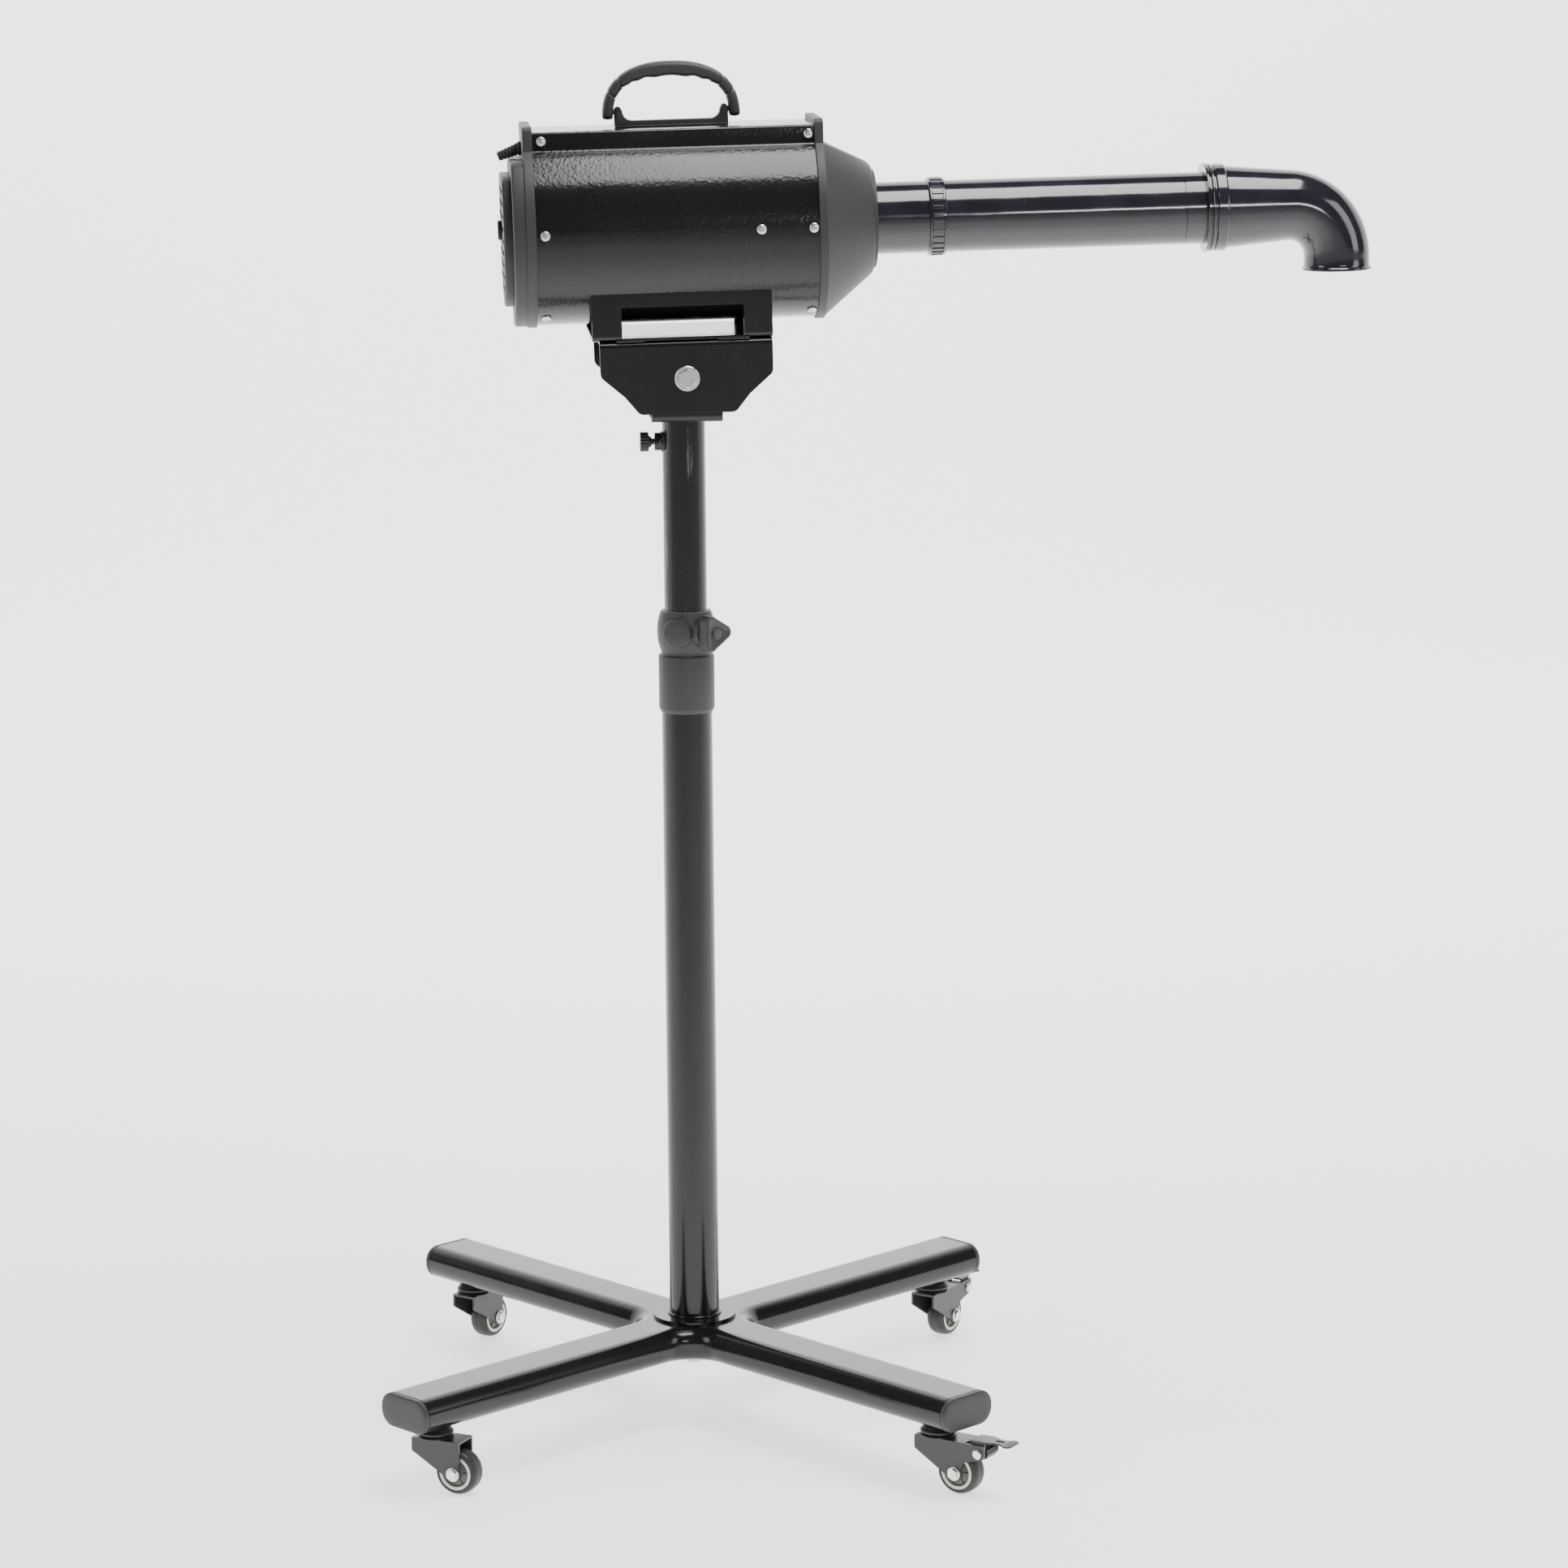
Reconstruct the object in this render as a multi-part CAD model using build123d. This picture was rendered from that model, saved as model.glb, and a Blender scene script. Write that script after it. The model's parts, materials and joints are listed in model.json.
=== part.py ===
"""Grooming stand dryer: a blower head on a tilting bracket, a telescopic mast and a castor base.

Frame: millimetres, +Z up, +X the way the nozzle points. The origin is on the floor under the
mast. The head is modelled level about its own axis and then tipped nose up about the tilt bolt.
"""
from build123d import *
import os
from math import cos, radians, sin, sqrt

os.makedirs("parts", exist_ok=True)

# ---- fits
running_gap = 0.3        # between pieces that move past each other
pin_gap = 0.06           # radial clearance of a pin in its hole

# ---- base
base_turn = -5.5         # the cross of legs stands turned this far about the mast, degrees
leg_angles = {"front_right": -45, "back_right": 45, "back_left": 135, "front_left": 225}
leg_w = 60.0
leg_h = 30.0
leg_corner = 14.0        # radius of the flat-oval section
leg_wall = 2.0
leg_axis_z = 76.5
leg_reach = 345.5        # mast axis to the outside of the end cap
cap_t = 6.0
cap_plug = 12.0
hub_arm = 70.0           # mast axis to where a leg is welded on
hub_fillet = 26.0
hub_wall = 3.0
hub_disc_d = 75.0
hub_disc_t = 2.5
hub_bolt_d = 12.0

# ---- castors
castor_r = 309.0         # mast axis to the swivel axis
castor_trail = 23.0
castor_turn = {"front_right": -37.5, "back_right": 53.0, "back_left": 53.0, "front_left": -29.5}
braked = ("front_right", "back_right")
wheel_r = 20.0
wheel_w = 18.0
rim_r = 15.5
axle_d = 6.0
fork_in = 10.5           # half the space between the cheeks
fork_t = 2.0
fork_top_z = 49.0
fork_nose = -17.0
cup_r = 16.0
cup_top_z = 60.0
stem_d = 10.0
brake_pivot = (46.5, 41.5)   # along the trail from the swivel axis, and up from the floor
brake_tip = 79.0
pedal_t = 1.8

# ---- mast
mast_d = 45.0
mast_wall = 1.5
riser_d = 38.0
riser_wall = 1.6
mast_bottom_z = 94.0
mast_top_z = 690.0
riser_bottom_z = 250.0
riser_top_z = 909.0
collar_bottom_z = 649.0
collar_top_z = 700.0
collar_r = 24.8
clamp_top_z = 739.5
clamp_bulge_r = 25.6
clamp_knob_z = 722.0
clamp_knob_turn = -50.0      # where the hand knob points, degrees about the mast
clamp_knob_r = 17.5
clamp_knob_t = 12.0
thumb_z = 889.5
thumb_knob_r = 8.6

# ---- tilting bracket
pivot_z = 951.5
yoke_base_z = 912.5
yoke_half_x = 31.0
yoke_out = 60.0              # half the width over the ears
yoke_t = 3.0
clevis_in = 61.8             # half the space between the side plates
clevis_t = 2.5
clevis_half_x = 75.0
clevis_top_z = 985.0
clevis_bottom_z = 921.0
tilt_bolt_d = 10.0
saddle_x = (-81.0, 75.5)
saddle_arm_x = ((-81.0, -55.0), (50.5, 75.5))
saddle_top_z = 1031.0
saddle_band = 6.0

# ---- blower head, along its own level axis
head_tilt = 1.0              # nose up, degrees
axis_z = 1079.5
body_r = 83.5
sheet = 1.2
body_x = (-126.5, 117.0)
box_half_y = 46.0
box_top = 86.0               # above the axis
box_slot_half = 43.0
ear_r = 85.5
ear_half_y = 49.5
ear_top = 91.0
rear_flange_x = (-135.0, -126.5)
rear_band_x = (-146.0, -135.0)
rear_band_r = 84.2
rear_flat = 61.7
cover_x = (-154.0, -146.3)
cover_r = 66.5
cover_flat = 48.0
cover_knob_shank = 2.5
knob_r = 8.5
gland_up = 70.5
gland_drop = 20.0        # degrees below level
front_flange_x = (117.0, 124.8)
cone_tip_x = 168.0
cone_tip_r = 47.5
cone_lip_x = 171.5
cone_lip_r = 43.0
facet_rise = 69.5
facet_slope = 0.46
cone_wall = 2.5
screw_r = 4.4
screw_turns = (0.0, 62.0, 118.0, 180.0)   # round the lower side, from the near side
rear_screw_x = -118.9
front_screw_x = 112.0
extra_screw_x = 66.7
wall_middle_up = 78.2        # middle of the control box's side wall, above the axis

# ---- switches on the far wall of the control box
switch_x = {"power": -70.0, "heat": -36.0}
switch_half_x = 9.5
switch_half_z = 6.0
rocker_pin_r = 1.0
speed_x = 2.0

# ---- inside the head
duct_r = 60.0
duct_x = (-112.0, 108.0)
fan_r = 56.5
fan_x = (-86.0, -60.0)
fan_blades = 9
motor_r = 36.0
motor_x = (-52.0, 28.0)
shaft_r = 4.0
heater_x = (42.0, 102.0)
heater_coils = 5

# ---- nozzle
tube_r = 31.5
tube_wall = 2.0
base_tube_x = (163.0, 224.0)
ring_x = (217.8, 232.8)
ring_r = 34.2
ring_ribs = 30
seam_x = 443.6
tube_end_x = 472.0
elbow_x = (462.0, 480.5)
collar_ring_r = 39.3
bell_r = 35.6
bend_start_x = 536.0
bend_r = 45.0
spout_r = 29.4
spout_drop = 57.8
elbow_wall = 2.4
spout_lip_r = 30.8

# ---- carry handle, on top of the control box
handle_mid_x = -3.6
handle_half = 60.2           # over the outside of the grip
handle_top = 142.0           # above the axis
handle_pin_up = 99.5
post_half = 46.5             # pin seats, either side of the middle
grip_w = 22.0
grip_t = 12.5
grip_pin_r = 2.5
post_half_y = 5.5


# ---- small helpers
def put(shape, name):
    """Write one sub-part, under its node name."""
    export_step(shape, f"parts/{name}.step")


def solids(items):
    """Keep separate solids together as one node."""
    return Compound([solid for item in items for solid in item.solids()])


def rod(radius, start, end, axis="Z", at=(0, 0)):
    """A cylinder along one axis, from start to end, with its centre line at two coordinates."""
    length = end - start
    middle = (start + end) / 2
    if axis == "X":
        return Pos(middle, at[0], at[1]) * Rot(0, 90, 0) * Cylinder(radius, length)
    if axis == "Y":
        return Pos(at[0], middle, at[1]) * Rot(90, 0, 0) * Cylinder(radius, length)
    return Pos(at[0], at[1], middle) * Cylinder(radius, length)


def block(x, y, z):
    """A box between pairs of coordinates."""
    size = [pair[1] - pair[0] for pair in (x, y, z)]
    centre = [(pair[1] + pair[0]) / 2 for pair in (x, y, z)]
    return Pos(*centre) * Box(*size)


def turned(points, axis="Z"):
    """A solid turned from a closed outline of (radius, height) points, about Z or along X."""
    wire = Polyline(*[(r, 0, h) for r, h in points], close=True)
    solid = revolve(make_face(wire), Axis.Z)
    return Rot(0, 90, 0) * solid if axis == "X" else solid


def leg_bar(width, height, corner, start, end):
    """A flat-oval bar along +X."""
    outline = Plane.YZ * RectangleRounded(width, height, corner)
    return Pos(start, 0, leg_axis_z) * extrude(outline, end - start)


def about_mast(shape, angle):
    """Turn a piece about the mast."""
    return Rot(0, 0, angle) * shape


# ---- base: hub, legs, end caps
def hub_blank(width, height, corner, arm, inner_corner):
    """The cross of stub arms, with the corners between them rounded."""
    cross = Rectangle(2 * arm, width) + Rectangle(width, 2 * arm)
    inner = [v for v in cross.vertices() if abs(v.X) < arm - 1 and abs(v.Y) < arm - 1]
    blank = extrude(fillet(inner, inner_corner), height / 2, both=True)
    sides = [e for e in blank.edges()
             if abs(e.center().Z) > height / 2 - 0.1
             and max(abs(e.center().X), abs(e.center().Y)) < arm - 0.1]
    return Pos(0, 0, leg_axis_z) * fillet(sides, corner)


def base_hub():
    outer = hub_blank(leg_w, leg_h, leg_corner, hub_arm, hub_fillet)
    inner = hub_blank(leg_w - 2 * hub_wall, leg_h - 2 * hub_wall, leg_corner - hub_wall,
                      hub_arm + 1, hub_fillet + hub_wall)
    top = leg_axis_z + leg_h / 2
    disc = rod(hub_disc_d / 2, top, top + hub_disc_t)
    post = rod(16, leg_axis_z - leg_h / 2, top)
    drain = rod(hub_bolt_d / 2 + pin_gap, 0, top + 10)
    return about_mast(outer - inner + disc + post - drain, 45 + base_turn)


def leg(angle):
    outer = leg_bar(leg_w, leg_h, leg_corner, hub_arm, leg_reach - cap_t)
    inner = leg_bar(leg_w - 2 * leg_wall, leg_h - 2 * leg_wall, leg_corner - leg_wall,
                    hub_arm - 1, leg_reach)
    stem_hole = rod(stem_d / 2, 0, leg_axis_z, at=(castor_r, 0))
    return about_mast(outer - inner - stem_hole, angle + base_turn)


def leg_cap(angle):
    face = leg_bar(leg_w, leg_h, leg_corner, leg_reach - cap_t, leg_reach)
    face = fillet(face.faces().sort_by(Axis.X)[-1].edges(), 3)
    clear = 2 * leg_wall + 0.2
    plug = leg_bar(leg_w - clear, leg_h - clear, leg_corner - leg_wall,
                   leg_reach - cap_t - cap_plug, leg_reach - cap_t)
    return about_mast(face + plug, angle + base_turn)


def hub_bolt():
    bottom = leg_axis_z - leg_h / 2
    washer = turned([(0, bottom - 8), (15, bottom - 8), (15, bottom - 6.5), (9, bottom), (0, bottom)])
    head = Pos(0, 0, bottom - 8) * extrude(RegularPolygon(9, 6), -5)
    shank = rod(hub_bolt_d / 2, bottom, mast_bottom_z + 14)
    return washer + head + shank


# ---- castors
def castor_place(name):
    """Where a castor stands: its swivel axis, turned the way it trails."""
    angle = radians(leg_angles[name] + base_turn)
    return Pos(castor_r * cos(angle), castor_r * sin(angle), 0) * Rot(0, 0, castor_turn[name])


def castor_cup(name):
    """Upper race, stem and nut, fixed to the leg."""
    leg_under = leg_axis_z - leg_h / 2
    cup = turned([(0, 51.6), (cup_r, 51.6), (cup_r, 54), (cup_r - 2.5, 57.5), (9, cup_top_z),
                  (9, leg_under), (0, leg_under)])
    stem = rod(stem_d / 2 - 0.1, leg_under, leg_under + 20)
    nut = Pos(0, 0, leg_under + leg_wall + 0.3) * extrude(RegularPolygon(8.5, 6), 7)
    return castor_place(name) * (cup + stem + nut)


def fork_cheek(name, side):
    """One side of the fork, in the plane of the wheel."""
    rear = 53.0 if name in braked else 29.5
    rear_low = 36.0 if name in braked else 26.0
    x, z = castor_trail, wheel_r
    outline = Polyline((fork_nose, fork_top_z), (rear, fork_top_z), (rear, rear_low),
                       (x + 7.2, z + 4), (x + 6.4, z - 4), (x, z - 7.6), (x - 6.4, z - 4),
                       (fork_nose, fork_top_z - 9), close=True)
    cheek = extrude(Plane.XZ * make_face(outline), fork_t)
    start = side * (fork_in + fork_t / 2) + fork_t / 2
    cheek = Pos(0, start, 0) * cheek
    return cheek - rod(axle_d / 2 - 0.1, -30, 30, "Y", (x, z))


def fork(name):
    rear = 33.0 if name in braked else 29.5
    width = fork_in + fork_t
    top = block((fork_nose, rear), (-width, width), (fork_top_z - fork_t, fork_top_z))
    race = turned([(0, fork_top_z), (cup_r + 0.3, fork_top_z), (cup_r + 0.3, fork_top_z + 1.2),
                   (cup_r - 2, fork_top_z + 2.2), (0, fork_top_z + 2.2)])
    body = top + race + fork_cheek(name, 1) + fork_cheek(name, -1)
    if name in braked:
        body -= rod(2.9, -30, 30, "Y", brake_pivot)
    return castor_place(name) * body


def axle(name):
    x, z = castor_trail, wheel_r
    reach = fork_in + fork_t
    shank = rod(axle_d / 2 - 0.1, -reach - 3, reach + 3, "Y", (x, z))
    head = Pos(x, -reach, z) * Rot(90, 0, 0) * extrude(RegularPolygon(5.6, 6), 3.5)
    nut = Pos(x, reach, z) * Rot(-90, 0, 0) * extrude(RegularPolygon(5.6, 6), 3.5)
    return castor_place(name) * (shank + head + nut)


def wheel_turned(points):
    """Turn an outline of (radius, sideways) points about the axle."""
    wire = Polyline(*[(r, h, 0) for r, h in points], close=True)
    return revolve(make_face(wire), Axis.Y)


def tyre(name):
    half = wheel_w / 2
    points = [(rim_r, -half), (wheel_r - 3, -half), (wheel_r - 0.8, -half + 2.4), (wheel_r, -half + 5),
              (wheel_r, half - 5), (wheel_r - 0.8, half - 2.4), (wheel_r - 3, half), (rim_r, half)]
    return castor_place(name) * Pos(castor_trail, 0, wheel_r) * wheel_turned(points)


def rim(name):
    half = wheel_w / 2
    bore = axle_d / 2
    hub = half + 0.9
    points = [(bore, -hub), (6, -hub), (6.5, -half + 3), (rim_r - 2.5, -half + 3), (rim_r - 2, -half),
              (rim_r, -half), (rim_r, half), (rim_r - 2, half), (rim_r - 2.5, half - 3),
              (6.5, half - 3), (6, hub), (bore, hub)]
    return castor_place(name) * Pos(castor_trail, 0, wheel_r) * wheel_turned(points)


def brake_pedal(name):
    """Pedal plate with two ears between the cheeks and a cam over the tyre."""
    px, pz = brake_pivot
    half = fork_in - running_gap
    low = fork_top_z + 1.2
    plate = block((px - 9, brake_tip), (-half, half), (low, low + pedal_t))
    plate -= block((brake_tip - 6, brake_tip), (half - 4, half + 1), (low - 1, low + 5))
    plate -= block((brake_tip - 6, brake_tip), (-half - 1, -half + 4), (low - 1, low + 5))
    ears = [block((px - 6, px + 6), (y, y + 2), (pz - 4, low)) for y in (-half, half - 2)]
    pin = rod(2.84, -fork_in - fork_t - 2, fork_in + fork_t + 2, "Y", (px, pz))
    heads = [rod(4.6, y, y + 1.8, "Y", (px, pz))
             for y in (-fork_in - fork_t - 2, fork_in + fork_t + 0.2)]
    cam = block((px - 2.6, px + 6), (-half, half), (pz - 6, pz + 2))
    body = plate + ears[0] + ears[1] + pin + heads[0] + heads[1] + cam
    return castor_place(name) * body


# ---- mast
def outer_tube():
    return rod(mast_d / 2, mast_bottom_z, mast_top_z) - rod(mast_d / 2 - mast_wall, 0, 2000)


def clamp_axis(shape):
    """Lay a piece made along +Z out along the hand knob's axis."""
    return Pos(0, 0, clamp_knob_z) * Rot(0, 0, clamp_knob_turn) * Rot(0, 90, 0) * shape


def clamp_collar():
    """Plastic sleeve over the tube top, with the clamp head above it."""
    middle = (collar_top_z + 2.5 + clamp_top_z) / 2
    top = clamp_top_z
    profile = [(20.9, collar_bottom_z), (collar_r - 2, collar_bottom_z), (collar_r, collar_bottom_z + 3),
               (collar_r, collar_top_z - 1), (collar_r - 1, collar_top_z), (22.4, collar_top_z),
               (22.4, collar_top_z + 2.5), (23.6, middle - 12), (clamp_bulge_r - 0.4, middle - 6),
               (clamp_bulge_r, middle), (clamp_bulge_r - 0.4, middle + 6), (23.6, middle + 12),
               (21.2, top), (20.9, top)]
    head = turned(profile)
    boss = clamp_axis(rod(14.5, 19.3, 28.0))
    body = head + boss
    body -= rod(mast_d / 2 + 0.05, 0, mast_top_z + 0.1)
    body -= rod(riser_d / 2 + running_gap + 1.2, mast_top_z, 2000)
    return body - clamp_axis(rod(4.1, 0, 60))


def collar_bush():
    """Thin slit bush that the riser slides in."""
    outside = riser_d / 2 + running_gap + 1.2
    tube = rod(outside - 0.02, mast_top_z + 0.3, clamp_top_z)
    tube -= rod(riser_d / 2 + pin_gap, 0, 2000)
    return tube - block((-60, 0), (-1, 1), (0, 2000)) - clamp_axis(rod(4.3, 0, 60))


def clamp_knob():
    """Three-lobed hand knob with its stud."""
    lobes = Circle(clamp_knob_r * 0.62)
    for turn in (90, 210, 330):
        lobes += Rot(0, 0, turn) * Pos(clamp_knob_r * 0.62, 0) * Circle(clamp_knob_r * 0.40)
    corners = lobes.vertices()
    head = extrude(fillet(corners, 2.5), clamp_knob_t)
    head = fillet(head.edges().filter_by(GeomType.CIRCLE).group_by(Axis.Z)[-1], 2)
    stud = rod(4.0, -8, 0)
    return clamp_axis(Pos(0, 0, 28.0 + running_gap) * (head + stud))


def inner_tube():
    """Riser with the threaded boss for the thumb screw welded to its side."""
    tube = rod(riser_d / 2, riser_bottom_z, riser_top_z) + rod(8.0, -26.0, -16.0, "X", (0, thumb_z))
    return tube - rod(riser_d / 2 - riser_wall, 0, 2000) - rod(3.2, -60, 0, "X", (0, thumb_z))


def glide_bush():
    """Plastic glide under the riser, a close fit in the mast."""
    top = riser_bottom_z
    bush = rod(mast_d / 2 - mast_wall - pin_gap, top - 30, top)
    bush += rod(riser_d / 2 - riser_wall - 0.05, top, top + 25)
    return bush - rod(12, 0, 2000)


def thumb_screw():
    shank = rod(3.1, -31.0, -17.9, "X", (0, thumb_z))
    neck = rod(4.2, -31.0, -28.6, "X", (0, thumb_z))
    knob = rod(thumb_knob_r, -38.5, -31.0, "X", (0, thumb_z))
    for turn in range(0, 360, 30):
        notch = Pos(0, 0, thumb_z) * Rot(turn, 0, 0) * rod(1.3, -45, -28, "X", (thumb_knob_r + 0.4, 0))
        knob -= notch
    return knob + neck + shank


# ---- tilting bracket
def yoke():
    """U-shaped bracket on a spigot that turns in the riser."""
    base = block((-yoke_half_x, yoke_half_x), (-yoke_out, yoke_out), (yoke_base_z, yoke_base_z + yoke_t))
    ear = Polyline((-yoke_half_x, yoke_base_z), (yoke_half_x, yoke_base_z), (yoke_half_x, yoke_base_z + 12),
                   (17, pivot_z + 6), (11, pivot_z + 15), (-11, pivot_z + 15), (-17, pivot_z + 6),
                   (-yoke_half_x, yoke_base_z + 12), close=True)
    plate = extrude(Plane.XZ * make_face(ear), yoke_t)
    body = base + Pos(0, yoke_out, 0) * plate + Pos(0, -yoke_out + yoke_t, 0) * plate
    body += rod(riser_d / 2, riser_top_z + running_gap, yoke_base_z)
    body += rod(riser_d / 2 - riser_wall - pin_gap, riser_top_z - 60, yoke_base_z)
    body -= rod(13, 0, yoke_base_z + 10)
    return body - rod(tilt_bolt_d / 2 + pin_gap, -200, 200, "Y", (0, pivot_z))


def tilt_washers():
    """Friction washers between the ears and the side plates."""
    rings = []
    for start in (-clevis_in + 0.05, yoke_out + 0.05):
        ring = rod(11, start, start + clevis_in - yoke_out - 0.1, "Y", (0, pivot_z))
        rings.append(ring - rod(tilt_bolt_d / 2 + pin_gap, -200, 200, "Y", (0, pivot_z)))
    return solids(rings)


def tilt_bolt():
    """Carriage bolt right through, with a washer and a nut."""
    face = clevis_in + clevis_t
    shank = rod(tilt_bolt_d / 2, -face, face + 8, "Y", (0, pivot_z))
    washer = rod(10.8, -face - 1.6, -face, "Y", (0, pivot_z))
    head = Pos(0, -face - 1.6, pivot_z) * Rot(90, 0, 0) * extrude(RegularPolygon(8.4, 6), 4)
    nut = Pos(0, face, pivot_z) * Rot(-90, 0, 0) * extrude(RegularPolygon(9.2, 6), 8)
    return shank + washer + head + nut


def clevis():
    """Inverted U of sheet: two chamfered side plates and the web that joins them."""
    half = clevis_half_x
    side = Polyline((-half, clevis_top_z), (half, clevis_top_z), (half, 958), (half - 3, 950),
                    (half - 14, 938), (46, clevis_bottom_z + 1.5), (40, clevis_bottom_z),
                    (-40, clevis_bottom_z), (-46, clevis_bottom_z + 1.5), (-half + 14, 938),
                    (-half + 3, 950), (-half, 958), close=True)
    plate = extrude(Plane.XZ * make_face(side), clevis_t)
    web = block((-half, half), (-clevis_in - clevis_t, clevis_in + clevis_t),
                (clevis_top_z - clevis_t, clevis_top_z))
    body = web + Pos(0, clevis_in + clevis_t, 0) * plate + Pos(0, -clevis_in, 0) * plate
    return body - rod(tilt_bolt_d / 2, -200, 200, "Y", (0, pivot_z))


def saddle():
    """Open frame from the web up to the body: a floor, four arms and a rail on each side."""
    out = clevis_in + clevis_t
    body = block(saddle_x, (-out, out), (clevis_top_z, clevis_top_z + 3))
    for side in (-1, 1):
        wall = sorted((side * out, side * (out - clevis_t)))
        for arm in saddle_arm_x:
            body += block(arm, wall, (clevis_top_z, saddle_top_z - 1))
        lip = sorted((side * out, side * (out - 9)))
        body += block(saddle_x, lip, (saddle_top_z - saddle_band - 6, saddle_top_z))
    shell = rod(body_r, -300, 300, "X", (0, axis_z))
    return body - shell


# ---- blower head
def circle_and_box(radius, half_y, top):
    """Body section, seen along the axis: a circle with a flat-topped box let into it."""
    box = Pos(0, axis_z + top / 2) * Rectangle(2 * half_y, top)
    return Pos(0, axis_z) * Circle(radius) + box


def flat_circle(radius, flat):
    """A circle with its top cut flat."""
    keep = Pos(0, axis_z + flat - radius) * Rectangle(4 * radius, 2 * radius)
    return (Pos(0, axis_z) * Circle(radius)) & keep


def along_x(section, x):
    """Extrude a section given in (Y, Z) from one station on the axis to another."""
    return Pos(x[0], 0, 0) * extrude(Plane.YZ * section, x[1] - x[0])


def body_shell():
    """Rolled sheet cylinder, open under the control box."""
    shell = rod(body_r, *body_x, "X", (0, axis_z)) - rod(body_r - sheet, -400, 400, "X", (0, axis_z))
    slot = block((-300, 300), (-box_slot_half, box_slot_half), (axis_z, axis_z + 200))
    return shell - slot


def control_box():
    """Folded lid that bridges the slot; it carries the handle and the switches."""
    lid = along_x(Pos(0, axis_z + box_top - 20) * Rectangle(2 * box_half_y, 40), body_x)
    top_edges = lid.edges().filter_by(Axis.X).group_by(Axis.Z)[-1]
    lid = fillet(top_edges, 2.5)
    inner = block((-400, 400), (-box_half_y + sheet, box_half_y - sheet), (0, axis_z + box_top - sheet))
    lid = lid - inner - rod(body_r, -400, 400, "X", (0, axis_z))
    for x, half_x, half_z in switch_cutouts():
        lid -= block((x - half_x, x + half_x), (30, 60), (switch_z() - half_z, switch_z() + half_z))
    return lid - rod(4.0, 30, 60, "Y", (speed_x, switch_z()))


def ear_plate(x):
    """End flange round the body and the box, with rounded ears."""
    plate = along_x(circle_and_box(ear_r, ear_half_y, ear_top), x)
    ears = [e for e in plate.edges().filter_by(Axis.X)
            if e.center().Z > axis_z + ear_top - 1]
    return fillet(ears, 5)


def rear_cap():
    """Plastic end cap: flange, D-shaped band and a spigot inside the shell."""
    cap = ear_plate(rear_flange_x)
    band = along_x(flat_circle(rear_band_r, rear_flat), rear_band_x)
    band = fillet(band.faces().sort_by(Axis.X)[0].edges(), 2)
    cap += band
    cap += rod(body_r - sheet - 0.05, body_x[0], body_x[0] + 12, "X", (0, axis_z)) - block(
        (-300, 0), (-200, 200), (axis_z + rear_flat, axis_z + 300))
    hollow = along_x(flat_circle(rear_band_r - 4, rear_flat - 4), (rear_band_x[0] + 3, 0))
    mouth = along_x(flat_circle(cover_r - 7, cover_flat - 7), (-300, 0))
    bridge = block((rear_band_x[0], rear_band_x[0] + 3), (-cover_r, cover_r), (axis_z - 6, axis_z + 6))
    stud = rod(cover_knob_shank + pin_gap, rear_band_x[0], rear_band_x[0] + 3, "X", (0, axis_z))
    gland_hole = rod(6.1, -300, 0, "X", (0, axis_z + gland_up))
    return cap - hollow - mouth + bridge - stud - gland_hole


def filter_cover():
    """Raised D-shaped intake cover with slots, lifted off by its middle knob."""
    cover = along_x(flat_circle(cover_r, cover_flat), cover_x)
    cover = fillet(cover.faces().sort_by(Axis.X)[0].edges(), 2)
    cover -= along_x(flat_circle(cover_r - 3, cover_flat - 3), (cover_x[0] + 2.5, 0))
    rows = 9
    pitch = (cover_r + cover_flat - 20) / rows
    for row in range(rows):
        z = -cover_r + 12 + pitch * (row + 0.5)
        half_y = sqrt((cover_r - 9) ** 2 - z ** 2)
        near = 12.5 if abs(z) < knob_r + 5 else 1.6      # the slots stop short of the hub
        for side in (-1, 1):
            y = sorted((side * near, side * half_y))
            cover -= block((-300, 0), y, (axis_z + z - 2.2, axis_z + z + 2.2))
    hub = rod(11, cover_x[0], cover_x[1], "X", (0, axis_z))
    return cover + hub - rod(cover_knob_shank + pin_gap, -300, 0, "X", (0, axis_z))


def filter_pad():
    """Sheet of open foam behind the slots."""
    pad = along_x(flat_circle(cover_r - 3.2, cover_flat - 3.2), (cover_x[0] + 2.6, cover_x[1] - 0.1))
    return pad - rod(11.1, -300, 0, "X", (0, axis_z))


def filter_knob():
    """Knurled nut on the cap's stud."""
    knob = rod(knob_r, cover_x[0] - 3.6, cover_x[0] - 0.2, "X", (0, axis_z))
    for turn in range(0, 360, 30):
        knob -= Pos(0, 0, axis_z) * Rot(turn, 0, 0) * rod(1.0, -300, 0, "X", (knob_r + 0.3, 0))
    return knob + rod(cover_knob_shank, cover_x[0] - 1, cover_x[1] + 0.1, "X", (0, axis_z))


def cable_gland():
    """Collar in the flange and the ribbed bend relief that points down behind it."""
    x = rear_flange_x[0]
    collar = rod(6.0, x - 3, x + 6, "X", (0, axis_z + gland_up))
    sleeve = Pos(x - 1.5, 0, axis_z + gland_up) * Rot(0, -90 - gland_drop, 0)
    relief = sleeve * (Pos(0, 0, 10) * Cone(5.2, 4.2, 20))
    relief += Pos(x - 1.5, 0, axis_z + gland_up) * Sphere(5.2)
    bore = sleeve * (Pos(0, 0, 11) * Cylinder(2.9, 20))
    return collar + relief - bore


def above_facet(start, end, drop):
    """Everything above the cone's sloping flat, or above a plane let down under it by drop."""
    first = front_flange_x[1]
    heights = [axis_z + facet_rise - drop - (x - first) * facet_slope for x in (start, end)]
    outline = Polyline((start, heights[0]), (end, heights[1]), (end, axis_z + 200), (start, axis_z + 200),
                       close=True)
    return extrude(Plane.XZ * make_face(outline), 200, both=True)


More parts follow.
